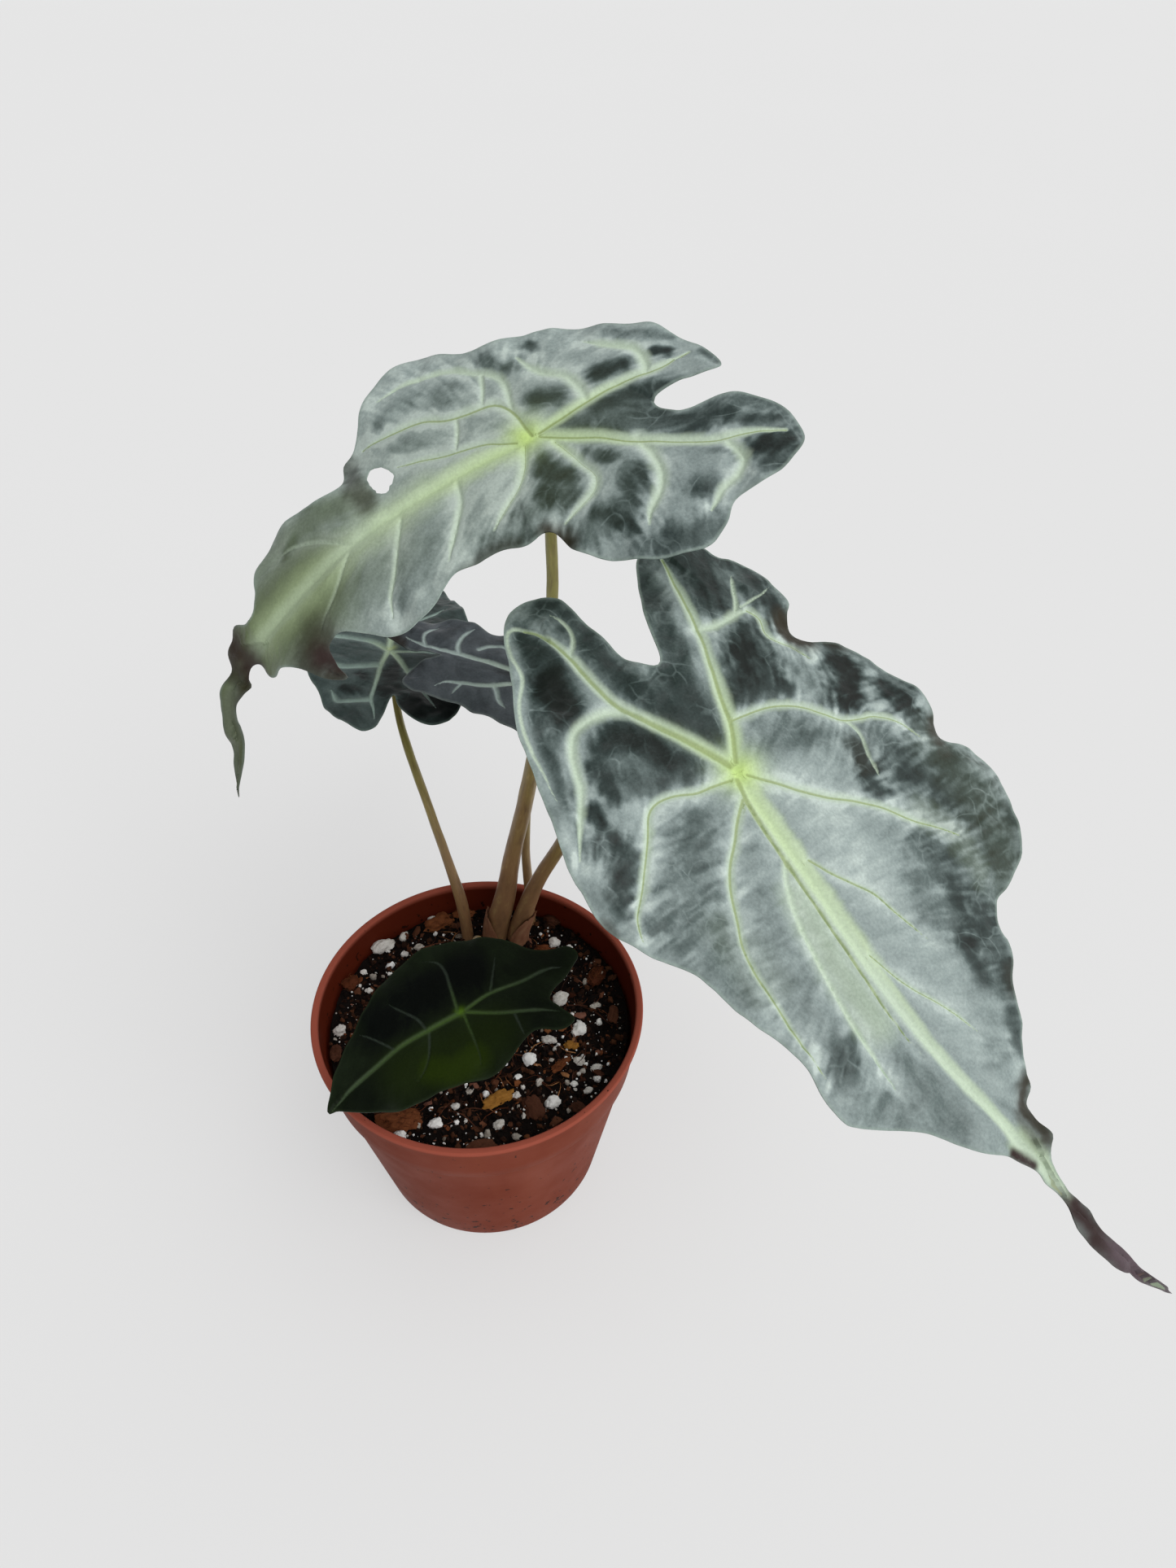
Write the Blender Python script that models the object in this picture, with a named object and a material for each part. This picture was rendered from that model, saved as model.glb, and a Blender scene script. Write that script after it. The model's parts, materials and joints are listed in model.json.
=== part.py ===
"""A small alocasia with five silvery arrow-shaped leaves in a 4 inch plastic nursery pot.

The pot stands on z = 0 with its centre on the Z axis. The plant grows a little behind the
middle of the pot and its two large leaves lean to the left and to the right front.
Sizes below are in millimetres and are turned to metres when a mesh is made.
"""

import math
import random

import bmesh
import bpy
import numpy as np
from mathutils import Vector, noise
from mathutils.geometry import delaunay_2d_cdt

MM = 0.001
GAP = 0.3

# The pot, a turned shell of polypropylene
RIM_RADIUS = 54.0
POT_HEIGHT = 80.0
BASE_RADIUS = 39.4
WALL = 1.4
FLOOR = 2.0
BAND_DROP = 19.5
BAND_STEP = 1.2
LIP_HEIGHT = 1.8
LIP_STEP = 1.0
BASE_CHAMFER = 1.2
POT_SIDES = 48
DRAIN_HOLES = 6
DRAIN_RADIUS = 3.5
DRAIN_CIRCLE = 27.0

# The potting mix
SOIL_TOP = 70.0
SOIL_RELIEF = 1.3
SOIL_SPACING = 4.2
SOIL_SEED = 11
GRAINS = 40
GRAIN_SIZE = (1.3, 2.6)
CHIPS = 12
CHIP_LENGTH = (5.0, 10.0)
LUMP_GAP = 4.6
LUMP_REACH = 44.5
CROWN = (4.0, 36.0)
CROWN_RISE = 1.2
CROWN_SPREAD = 16.0
CROWN_CLEAR = 11.0

# The blades
BLADE_THICK = 0.9
RIB_RISE = 0.25
RIB_DROP = 0.9
RIB_HALF_WIDTH = 2.2
RIB_FADE = 150.0
RUFFLE_REACH = 0.34
QUILT_REACH = 3.5
QUILT_MARGIN = 8.0
EDGE_CLEAR = 1.2

# The stalks
STEM_SIDES = 12
STEM_DEPTH = 12.0
STALK_CLEAR = 0.55
STALK_FLARE = 1.25

# Each leaf: junction is where the stalk meets the blade. The spine gives the blade's dip below
# level, its heading from +X and its roll, in degrees, at distances along the midrib from the
# junction. The outline and the veins are (along, across) from the junction, and across is
# positive on the left of the heading.
LEAVES = {
    "leaf_top": dict(
        junction=(24, 27, 265),
        spine=((-62, 8, 182, -20), (0, 18, 186, -22), (40, 30, 192, -22), (80, 46, 196, -20),
               (100, 62, 194, -35), (118, 82, 188, -70), (150, 89, 184, -70)),
        outline=((-29, -1), (-34, 4), (-42, 3), (-50, 5), (-58, 10), (-61, 17.5), (-57.5, 24),
                 (-50, 29.6), (-42.5, 31.5), (-39, 37), (-33, 42), (-26, 43), (-18, 41.5),
                 (-8, 37), (-2, 33), (2, 27), (8, 28), (15, 26), (21.5, 25.5), (29, 26),
                 (34, 28), (41, 31.5), (53, 30), (60, 24.5), (67, 19), (72, 19), (73, 24),
                 (72, 29), (77, 25.5), (82, 18), (87, 13), (93.5, 9.8), (94.8, 3.4), (97.8, 1),
                 (100.5, 2.4), (101, 5), (105, 3.5), (110, 1.4), (116, 2), (128, 2.5),
                 (135, 1.2), (144, -0.7), (134, -1.2), (126, -1.4), (112, -2.8), (107, -3.8),
                 (102.5, -3.4), (99.6, -6.7), (95.5, -7.7), (92.4, -9.4), (87.9, -4.8),
                 (84, -5.4), (80, -14), (74, -18), (65, -19), (55, -16), (49, -17), (47, -22.5),
                 (42.5, -25), (35.5, -35), (29, -40), (20, -41), (10, -34), (-1, -33),
                 (-10, -33), (-22, -28), (-33, -23), (-42, -15), (-46, -7), (-42, -4),
                 (-35, -4)),
        hole=((41, -14), (38, -13), (36, -10), (37, -7), (40, -6), (43, -9)),
        ribs=(((0, 0), (26, 2), (63, 4), (84, 3), (97, 0), (118, 0)),
              ((0, 0), (-11, 4), (-24, 10), (-41, 14), (-54, 14)),
              ((0, 0), (-9, -4), (-19, -7), (-38, -13))),
        laterals=(((0, -1), (5, -13), (17, -18), (32, -26)), ((-12, -5), (-9, -15), (-1, -23)),
                  ((-28, -10), (-27, -17), (-16, -24)), ((-2, 1), (-11, 10), (-11, 18), (-3, 26)),
                  ((-23, 10), (-27, 20), (-22, 29), (-13, 34)), ((-42, 14), (-44, 22), (-39, 31)),
                  ((3, 1), (6, 10), (14, 19)), ((30, 2), (38, 12), (49, 22)),
                  ((52, 3), (62, 11), (72, 17)), ((22, 1), (34, -9), (50, -12)),
                  ((50, 3), (60, -6), (71, -12))),
        spacing=5.6, fold=0.05, wave=1.2, wave_length=34, wave_phase=0.6, quilt=0.9,
        colour="#93A69B"),
    "leaf_right": dict(
        junction=(71, -24, 208),
        spine=((-66, 10, -48, 4), (0, 25, -48, 4), (60, 31, -47, 4), (120, 38, -45, 4),
               (140, 42, -40, 4), (175, 44, -36, 4)),
        outline=((-31, 1.5), (-37, 6), (-50, 14), (-61, 22), (-64, 30), (-58, 38), (-51, 43),
                 (-43, 46), (-27, 46), (-18, 47), (-10, 50), (1, 55), (10, 57.5), (19, 59),
                 (29, 60), (41, 61.5), (51, 59), (60, 53), (63, 45), (64, 37), (72, 31),
                 (81, 26), (89, 21), (98.5, 12), (105, 9), (111.5, 9), (115, 5.6), (119, 4.2),
                 (126, 4), (135, 5), (144, 6.6), (152.5, 8.6), (160.5, 11.2), (166, 12.7),
                 (156, 7.5), (148, 3.9), (139, 0.8), (131, 0), (123, -0.4), (115, -1.4),
                 (109, -4), (102, -11), (92, -20), (80, -33), (75, -34.6), (67.5, -34.4),
                 (60, -34), (47.5, -39), (30.5, -43), (21, -48.5), (10.5, -52), (-3, -50),
                 (-20, -44), (-38, -37.5), (-51, -29), (-62, -22), (-66, -16.5), (-65, -10),
                 (-60, -5.5), (-50, -4), (-39, -3)),
        hole=(),
        ribs=(((0, 0), (28, -3), (66, -6), (98, -3), (121, 1), (150, 9)),
              ((0, 0), (-18, -9), (-33, -14), (-50, -16), (-59, -16)),
              ((0, 0), (-22, 11), (-50, 25), (-58, 30))),
        laterals=(((-18, -9), (-27, -19), (-24, -29), (-12, -39)),
                  ((1, -2), (-1, -13), (-1, -25), (8, -35), (18, -44)),
                  ((6, -1), (19, -19), (31, -27), (46, -32)),
                  ((29, -3), (53, -15), (71, -21)), ((-30, 16), (-31, 28), (-26, 37)),
                  ((-6, 4), (-6, 20), (5, 33), (16, 47)), ((6, -1), (23, 17), (39, 31), (52, 43)),
                  ((30, -3), (45, 7), (64, 20)), ((56, -5), (72, 3), (86, 9)),
                  ((-42, 21), (-48, 30), (-46, 36))),
        spacing=6.2, fold=0.05, wave=1.2, wave_length=40, wave_phase=0.0, quilt=1.0,
        colour="#9FB5AB"),
    "leaf_back_left": dict(
        junction=(-33, 99, 149),
        spine=((-45, -4, 92, 0), (0, 4, 92, 0), (40, 14, 92, 0), (90, 30, 92, 0)),
        outline=((-28, -4), (-34, -1), (-41, 1), (-43, 7), (-37, 14), (-30, 19), (-22, 22),
                 (-12, 27), (2, 30), (14, 30), (26, 27), (40, 21), (54, 13), (66, 6), (80, 0),
                 (66, -7), (54, -14), (44, -19), (34, -23), (22, -27), (11, -31), (0, -32),
                 (-12, -30), (-24, -28), (-34, -25), (-39, -19), (-38, -11), (-33, -6)),
        hole=(),
        ribs=(((0, 0), (30, 0), (70, 0)), ((0, 0), (-15, 2), (-26, 4), (-36, 6)),
              ((0, 0), (-13, -8), (-32, -17))),
        laterals=(((-2, 1), (0, 10), (8, 20)), ((14, 0), (22, 9), (31, 17)),
                  ((30, 0), (39, 7), (47, 12)), ((-2, -1), (0, -12), (8, -24)),
                  ((14, 0), (22, -10), (31, -18)), ((30, 0), (39, -7), (47, -13)),
                  ((-22, 4), (-27, 10), (-25, 17)), ((-14, -9), (-16, -18), (-12, -25))),
        spacing=5.2, fold=0.08, wave=1.3, wave_length=30, wave_phase=0.4, quilt=0.8,
        colour="#3B4A48"),
    "leaf_back_right": dict(
        junction=(22, 66, 161),
        spine=((-60, 0, -12, 6), (0, 8, -12, 6), (40, 24, -12, 6), (90, 42, -12, 6)),
        outline=((-35, 1), (-42, 2), (-50, 5), (-57, 9), (-54, 14), (-46, 18), (-34, 21),
                 (-23, 18), (-14, 20), (-2, 22), (12, 22), (26, 19), (40, 15), (54, 10),
                 (68, 5), (84, 0), (70, -7), (56, -13), (42, -18), (28, -21), (12, -23),
                 (-3, -22), (-13, -20), (-25, -16), (-35, -16), (-43, -13), (-44, -8),
                 (-40, -2)),
        hole=(),
        ribs=(((0, 0), (34, 0), (74, 0)), ((0, 0), (-20, 4), (-34, 7), (-50, 10)),
              ((0, 0), (-12, -4), (-34, -9))),
        laterals=(((-1, 1), (2, 10), (10, 19)), ((14, 0), (22, 8), (31, 15)),
                  ((30, 0), (40, 6), (49, 10)), ((-1, -1), (2, -9), (10, -17)),
                  ((14, 0), (22, -8), (31, -14)), ((30, 0), (40, -6), (49, -10)),
                  ((-26, 5), (-29, 10), (-27, 15)), ((-14, -5), (-9, -14))),
        spacing=5.2, fold=0.08, wave=1.2, wave_length=26, wave_phase=0.2, quilt=0.7,
        colour="#454A50"),
    "leaf_front": dict(
        junction=(-1, -23, 107),
        spine=((-42, 5, 196, -6), (0, 10, 196, -6), (30, 16, 199, -6), (70, 24, 204, -6)),
        outline=((-26, 5), (-29, 10), (-31, 14), (-26, 15), (-19, 13), (-13, 17), (-5, 22),
                 (6, 22), (18, 22), (29, 21), (38, 17), (44, 13), (47, 12), (42, 4), (36, -5),
                 (29, -12), (20, -21), (9, -26), (-1, -26), (-11, -24), (-20, -18), (-27, -13),
                 (-35, -11), (-38, -7), (-35, -3), (-29, 1)),
        hole=(),
        ribs=(((0, 0), (22, 3), (31, 7), (42, 11)), ((0, 0), (-14, 5), (-26, 9)),
              ((0, 0), (-8, -3), (-18, -5), (-32, -6))),
        laterals=(((0, 0), (1, -10), (3, -19)), ((11, 1), (15, -7), (21, -14)),
                  ((-9, -3), (-12, -12), (-9, -19)), ((0, 1), (-1, 10), (3, 18)),
                  ((10, 2), (12, 9), (18, 17)), ((22, 3), (28, -3), (32, -6)),
                  ((-16, 6), (-15, 12)), ((23, 4), (28, 11), (33, 15))),
        spacing=4.4, fold=0.06, wave=0.8, wave_length=24, wave_phase=0.0, quilt=0.5,
        colour="#16201A"),
}

# Each stalk runs through these points, with its radius at each, up to its blade's junction.
STALKS = {
    "petiole_top": dict(
        leaf="leaf_top", colour="#8C6A4A", neck=4.0,
        route=((3.2, 36.8, 71, 4.4), (8.1, 35.5, 94.4, 3.5), (11.1, 34, 113.7, 2.8),
               (18.1, 32, 149.6, 2.4), (23.4, 30.4, 185, 1.9), (26.6, 28.8, 220, 1.6),
               (26.5, 28, 242, 1.5))),
    "petiole_right": dict(
        leaf="leaf_right", colour="#8A6247", neck=4.0,
        route=((10.9, 35.5, 72.8, 3.2), (14.6, 34.5, 87.5, 3.1), (18.9, 32.5, 102.6, 2.6),
               (24.8, 29, 119, 2.3), (38, 14, 159, 2.2), (54, -4, 187, 2.1),
               (63, -15, 198, 1.9))),
    "petiole_back_right": dict(
        leaf="leaf_back_right", colour="#7A6A44", neck=4.0,
        route=((15.5, 43, 70, 1.8), (15.2, 45, 84, 1.6), (14.5, 52, 104, 1.5),
               (17, 59, 131, 1.3), (20.5, 64, 150, 1.2))),
    "petiole_back_left": dict(
        leaf="leaf_back_left", colour="#8C8240", neck=5.0,
        route=((-6.6, 36.5, 71, 2.1), (-7.9, 37.5, 88.7, 2.0), (-11.9, 42.5, 104.3, 1.6),
               (-18, 53, 119.4, 1.5), (-25.7, 71, 129, 1.4), (-30.3, 85, 134, 1.3))),
    "petiole_front": dict(
        leaf="leaf_front", colour="#7A7A40", neck=2.5,
        route=((-1, 30, 70, 1.6), (-1, 26, 80, 1.5), (-1, 16, 92, 1.4), (-1, 0, 100, 1.3),
               (-1, -13, 102, 1.2))),
}

# The papery old sheath that still clasps the right stalk's foot, on the side away from its neighbour
SHEATH_INSIDE = 3.6
SHEATH_THICK = 0.7
SHEATH_FLARE = 0.2
SHEATH_HEIGHT = 17.0
SHEATH_DEPTH = 6.0
SHEATH_ARC = (-125, 95)
SHEATH_SIDES = 16
SHEATH_RINGS = 7


def linear(hex_colour):
    """A colour written as sRGB hex, as the linear values that a shader takes."""
    parts = [int(hex_colour[i:i + 2], 16) / 255 for i in (1, 3, 5)]
    return [p / 12.92 if p <= 0.04045 else ((p + 0.055) / 1.055) ** 2.4 for p in parts] + [1.0]


def material(name, hex_colour, roughness, metallic=0.0):
    made = bpy.data.materials.new(name)
    made.use_nodes = True
    shader = made.node_tree.nodes["Principled BSDF"]
    shader.inputs["Base Color"].default_value = linear(hex_colour)
    shader.inputs["Roughness"].default_value = roughness
    shader.inputs["Metallic"].default_value = metallic
    made.diffuse_color = linear(hex_colour)
    return made


def add_object(name, points_mm, faces, finish, sharp_angle=40):
    """A mesh object from points in millimetres, shaded smooth but for its sharp edges."""
    mesh = bpy.data.meshes.new(name)
    mesh.from_pydata([tuple(float(c) * MM for c in p) for p in points_mm], [], faces)
    mesh.materials.append(finish)
    mesh.shade_smooth()
    mesh.set_sharp_from_angle(angle=math.radians(sharp_angle))
    obj = bpy.data.objects.new(name, mesh)
    bpy.context.scene.collection.objects.link(obj)
    return obj


def mark_helper(obj):
    obj.hide_render = True
    obj.display_type = "WIRE"


def cut(target, cutter_collection, operation, solver="EXACT"):
    """One Boolean of the target with a collection, applied, and the collection's objects removed."""
    boolean = target.modifiers.new("Boolean", "BOOLEAN")
    boolean.operation = operation
    boolean.operand_type = "COLLECTION"
    boolean.collection = cutter_collection
    boolean.solver = solver
    graph = bpy.context.evaluated_depsgraph_get()
    result = bpy.data.meshes.new_from_object(target.evaluated_get(graph))
    target.modifiers.remove(boolean)
    target.data = result
    for helper in list(cutter_collection.objects):
        bpy.data.objects.remove(helper)
    bpy.data.collections.remove(cutter_collection)


def helper_collection(name):
    made = bpy.data.collections.new(name)
    bpy.context.scene.collection.children.link(made)
    return made


def move_to(obj, collection):
    for old in list(obj.users_collection):
        old.objects.unlink(obj)
    collection.objects.link(obj)
    mark_helper(obj)


# Curves

def smooth_curve(points, per_span, closed=False):
    """Points on a Catmull-Rom curve through the given ones, per_span to each stretch."""
    given = np.array(points, float)
    count = len(given)
    spans = count if closed else count - 1
    made = []
    for k in range(spans):
        if closed:
            p0, p1, p2, p3 = (given[(k + j - 1) % count] for j in range(4))
        else:
            p1, p2 = given[k], given[k + 1]
            p0 = given[k - 1] if k else 2 * p1 - p2
            p3 = given[k + 2] if k + 2 < count else 2 * p2 - p1
        for step in range(per_span):
            t = step / per_span
            made.append(0.5 * (2 * p1 + (p2 - p0) * t + (2 * p0 - 5 * p1 + 4 * p2 - p3) * t ** 2
                               + (3 * p1 - p0 - 3 * p2 + p3) * t ** 3))
    if not closed:
        made.append(given[-1])
    return np.array(made)


def even_points(path, spacing, closed=False):
    """The path resampled at an even spacing, as near to the one asked for as divides it."""
    if closed:
        path = np.vstack([path, path[:1]])
    lengths = np.concatenate([[0], np.cumsum(np.linalg.norm(np.diff(path, axis=0), axis=1))])
    count = max(2, round(lengths[-1] / spacing))
    at = np.linspace(0, lengths[-1], count + 1)
    made = np.stack([np.interp(at, lengths, path[:, k]) for k in range(path.shape[1])], -1)
    return made[:-1] if closed else made


def distance_to(path, points, closed=False):
    """Each point's distance to a path of straight pieces, and how far along it the nearest place is."""
    ends = np.vstack([path, path[:1]]) if closed else path
    start, step = ends[:-1], np.diff(ends, axis=0)
    length = np.linalg.norm(step, axis=1)
    offset = points[:, None, :] - start[None]
    share = np.clip((offset * step).sum(-1) / np.maximum(length ** 2, 1e-9), 0, 1)
    gaps = np.linalg.norm(offset - share[..., None] * step, axis=-1)
    nearest = gaps.argmin(1)
    rows = np.arange(len(points))
    before = np.concatenate([[0], np.cumsum(length)])[:-1]
    along = before[nearest] + share[rows, nearest] * length[nearest]
    return gaps[rows, nearest], along, length.sum()


def inside(outline, points):
    """Whether each point lies inside the closed outline, by counting crossings."""
    x, y = points[:, 0], points[:, 1]
    found = np.zeros(len(points), bool)
    for a, b in zip(outline, np.roll(outline, -1, axis=0)):
        crosses = (a[1] > y) != (b[1] > y)
        rise = b[1] - a[1] if b[1] != a[1] else 1e-12
        found ^= crosses & (x < (b[0] - a[0]) * (y - a[1]) / rise + a[0])
    return found


# Blades

def spine_frames(leaf):
    """The midrib's place and its three directions at every millimetre along it."""
    stations = np.array(leaf["spine"], float)
    at = np.arange(stations[0, 0] - 10, stations[-1, 0] + 11)
    window = np.hanning(23)[1:-1]
    window /= window.sum()
    smooth = []
    for column in (1, 2, 3):
        values = np.pad(np.interp(at, stations[:, 0], stations[:, column]), 10, mode="edge")
        smooth.append(np.radians(np.convolve(values, window, "valid")))
    dip, heading, roll = smooth
    level = np.stack([np.cos(heading), np.sin(heading), 0 * heading], -1)
    along = level * np.cos(dip)[:, None] - np.array([0, 0, 1.0]) * np.sin(dip)[:, None]
    left = np.stack([-np.sin(heading), np.cos(heading), 0 * heading], -1)
    up = np.cross(along, left)
    side = left * np.cos(roll)[:, None] + up * np.sin(roll)[:, None]
    place = np.concatenate([[np.zeros(3)], np.cumsum((along[1:] + along[:-1]) / 2, axis=0)])
    place += np.array(leaf["junction"], float) - place[int(np.argmin(np.abs(at)))]
    return at, place, along, side, np.cross(along, side)


def blade_lines(leaf, spacing):
    """The blade's outline, hole and veins as evenly spaced points."""
    outline = even_points(smooth_curve(leaf["outline"], 6, closed=True), spacing, closed=True)
    hole = np.zeros((0, 2))
    if leaf["hole"]:
        hole = even_points(smooth_curve(leaf["hole"], 4, closed=True), spacing / 2, closed=True)
    ribs = [even_points(smooth_curve(rib, 6), spacing) for rib in leaf["ribs"]]
    laterals = [even_points(smooth_curve(vein, 6), spacing) for vein in leaf["laterals"]]
    return outline, hole, ribs, laterals


def blade_height(leaf, points, lines):
    """How far each point of the flat blade is lifted: drooping sides, waved margin, quilting."""
    outline, _, ribs, laterals = lines
    half_width = np.abs(outline[:, 1]).max()
    edge, along_edge, girth = distance_to(outline, points, closed=True)
    across = np.abs(points[:, 1])
    height = -leaf["fold"] * across ** 2 / half_width
    waves = max(3, round(girth / leaf["wave_length"]))
    turn = 2 * math.pi * (waves * along_edge / girth + leaf["wave_phase"])
    ruffle = np.sin(turn) + 0.35 * np.sin(2.6 * turn + 1.0)
    height += leaf["wave"] * ruffle * np.clip(1 - edge / (RUFFLE_REACH * half_width), 0, 1) ** 1.5
    vein_gap = np.min([distance_to(v, points)[0] for v in ribs + laterals], axis=0)
    calm = np.clip(edge / QUILT_MARGIN, 0, 1)
    height += leaf["quilt"] * calm * (1 - np.exp(-vein_gap / QUILT_REACH))
    return height


def lifted(frames, points, height):
    """Flat blade points, in millimetres, carried to their place on the bent blade."""
    at, place, _, side, normal = frames

    def read(table):
        return np.stack([np.interp(points[:, 0], at, table[:, k]) for k in range(3)], -1)

    return read(place) + read(side) * points[:, 1:2] + read(normal) * height[:, None]


def blade_net(leaf, lines):
    """The flat blade's points and triangles: its outline, its veins with a row beside each rib, a grid."""
    outline, hole, ribs, laterals = lines
    spacing = leaf["spacing"]
    low, high = outline.min(0), outline.max(0)
    rows = np.arange(low[1], high[1], spacing * math.sqrt(3) / 2)
    grid = [(x + (k % 2) * spacing / 2, y) for k, y in enumerate(rows)
            for x in np.arange(low[0], high[0], spacing)]
    beside = []
    for rib in ribs:
        step = np.gradient(rib, axis=0)
        step /= np.linalg.norm(step, axis=1)[:, None]
        sideways = np.stack([-step[:, 1], step[:, 0]], -1) * RIB_HALF_WIDTH
        beside += [rib[1:] + sideways[1:], rib[1:] - sideways[1:]]
    beside = np.vstack(beside)
    veins = np.vstack(ribs + laterals)
    beside = beside[inside(outline, beside)]
    beside = beside[distance_to(outline, beside, closed=True)[0] > EDGE_CLEAR]
    apart = np.linalg.norm(beside[:, None] - veins[None], axis=-1).min(1)
    beside = beside[apart > 0.7 * RIB_HALF_WIDTH]
    grid = np.array(grid)
    grid = grid[inside(outline, grid)]
    grid = grid[distance_to(outline, grid, closed=True)[0] > 0.55 * spacing]
    taken = np.vstack([veins, beside])
    grid = grid[np.linalg.norm(grid[:, None] - taken[None], axis=-1).min(1) > 0.6 * spacing]
    points, edges = [], []

    def add_line(line, closed):
        first = len(points)
        points.extend(line)
        edges.extend((first + k, first + k + 1) for k in range(len(line) - 1))
        if closed:
            edges.append((len(points) - 1, first))

    add_line(outline, True)
    if len(hole):
        add_line(hole, True)
        keep = distance_to(hole, grid, closed=True)[0] > 0.3 * spacing
        grid = grid[keep & ~inside(hole, grid)]
    for line in ribs + laterals:
        add_line(line, False)
    points.extend(beside)
    points.extend(grid)
    vectors = [Vector((float(p[0]), float(p[1]))) for p in points]
    made, _, faces, _, _, _ = delaunay_2d_cdt(vectors, edges, [], 1, 0.05)
    flat = np.array([(v.x, v.y) for v in made])
    faces = np.array([tuple(f) for f in faces])
    middles = flat[faces].mean(1)
    wanted = inside(outline, middles)
    if len(hole):
        wanted &= ~inside(hole, middles)
    faces = faces[wanted]
    a, b, c = (flat[faces[:, k]] for k in range(3))
    turned = (b[:, 0] - a[:, 0]) * (c[:, 1] - a[:, 1]) - (b[:, 1] - a[:, 1]) * (c[:, 0] - a[:, 0]) < 0
    faces[turned] = faces[turned][:, ::-1]
    return flat, faces


def boundary_loops(faces):
    """The directed edges that only one triangle has, which run round the outline and the hole."""
    sides = np.concatenate([faces[:, [0, 1]], faces[:, [1, 2]], faces[:, [2, 0]]])
    held = {tuple(side) for side in sides}
    return [side for side in held if (side[1], side[0]) not in held]


def blade(name, leaf):
    """One blade as a closed solid: the same triangles above and below, and a wall round the edge."""
    lines = blade_lines(leaf, leaf["spacing"] * 0.62)
    frames = spine_frames(leaf)
    flat, faces = blade_net(leaf, lines)
    height = blade_height(leaf, flat, lines)
    rib_gap = np.min([distance_to(rib, flat)[0] for rib in lines[2]], axis=0)
    rib = np.clip(1 - rib_gap / RIB_HALF_WIDTH, 0, 1)
    rib *= np.clip(1.1 - np.linalg.norm(flat, axis=1) / RIB_FADE, 0.3, 1)
    half = BLADE_THICK / 2
    top = lifted(frames, flat, height + half + RIB_RISE * rib)
    under = lifted(frames, flat, height - half - RIB_DROP * rib)
    count = len(flat)
    solid = [tuple(int(v) for v in f) for f in faces]
    solid += [tuple(int(v) + count for v in f[::-1]) for f in faces]
    for a, b in boundary_loops(faces):
        a, b = int(a), int(b)
        solid += [(b, a, a + count), (b, a + count, b + count)]
    finish = material(name + "_blade", leaf["colour"], 0.42)
    return add_object(name, np.vstack([top, under]), solid, finish, 60)


# Stalks

def tube(name, path, radii, finish, sides=STEM_SIDES):
    """A solid tube along a path, with a radius at each point and a flat cap at both ends."""
    path = np.array(path, float)
    steps = np.gradient(path, axis=0)
    steps /= np.linalg.norm(steps, axis=1)[:, None]
    reference = np.array([1.0, 0, 0])
    points, faces = [], []
    for place, along, radius in zip(path, steps, radii):
        reference = reference - along * (reference @ along)
        reference /= np.linalg.norm(reference)
        other = np.cross(along, reference)
        for k in range(sides):
            turn = 2 * math.pi * k / sides
            points.append(place + radius * (math.cos(turn) * reference + math.sin(turn) * other))
    rings = len(path)
    for ring in range(rings - 1):
        for k in range(sides):
            a, b = ring * sides + k, ring * sides + (k + 1) % sides
            faces.append((a, b, b + sides, a + sides))
    faces.append(tuple(range(sides))[::-1])
    faces.append(tuple((rings - 1) * sides + k for k in range(sides)))
    return add_object(name, points, faces, finish)


def stalk_path(stalk, spare=0.0):
    """A stalk's centre line from its foot in the mix to just under its blade, and its radii."""
    leaf = LEAVES[stalk["leaf"]]
    at, place, _, _, normal = spine_frames(leaf)
    here = int(np.argmin(np.abs(at)))
    under = BLADE_THICK / 2 + RIB_DROP + STALK_CLEAR
    top = place[here] - normal[here] * under
    route = np.array(stalk["route"], float)
    last_radius = route[-1, 3]
    neck = np.append(top - normal[here] * stalk["neck"], last_radius)
    foot = route[0].copy()
    foot[2] -= STEM_DEPTH + spare
    route = np.vstack([foot, route, neck, np.append(top, last_radius * STALK_FLARE)])
    route = smooth_curve(route, 2)
    return route[:, :3], route[:, 3] + spare


# Pot and mix

def pot_profile():
    """The pot's outer and inner wall as (radius, height), both from the bottom up."""
    band = POT_HEIGHT - BAND_DROP
    under_band = RIM_RADIUS - LIP_STEP - BAND_STEP - 1.9
    band_foot = under_band + BAND_STEP
    lip = RIM_RADIUS
    outer = [(BASE_RADIUS - BASE_CHAMFER, 0), (BASE_RADIUS, BASE_CHAMFER), (under_band, band),
             (band_foot, band + 0.9), (lip - LIP_STEP, POT_HEIGHT - LIP_HEIGHT - 0.5),
             (lip, POT_HEIGHT - LIP_HEIGHT), (lip, POT_HEIGHT - 0.4), (lip - 0.4, POT_HEIGHT)]
    inner = [(BASE_RADIUS - WALL, FLOOR), (under_band - WALL, band), (band_foot - WALL, band + 1.6),
             (lip - LIP_STEP - WALL, POT_HEIGHT - 1.2), (lip - LIP_STEP - WALL + 0.5, POT_HEIGHT)]
    return outer, inner


def turned(name, profile, finish, sides, centre_bottom, centre_top):
    """A closed solid turned about Z from a profile of (radius, height), with a point at each pole."""
    points = [(0, 0, centre_bottom)]
    for radius, height in profile:
        for k in range(sides):
            turn = 2 * math.pi * k / sides
            points.append((radius * math.cos(turn), radius * math.sin(turn), height))
    points.append((0, 0, centre_top))
    last, faces = len(points) - 1, []
    for k in range(sides):
        after = (k + 1) % sides
        faces.append((0, 1 + after, 1 + k))
        for ring in range(len(profile) - 1):
            a, b = 1 + ring * sides + k, 1 + ring * sides + after
            faces.append((a, b, b + sides, a + sides))
        top = 1 + (len(profile) - 1) * sides
        faces.append((top + k, top + after, last))
    return add_object(name, points, faces, finish)


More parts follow.
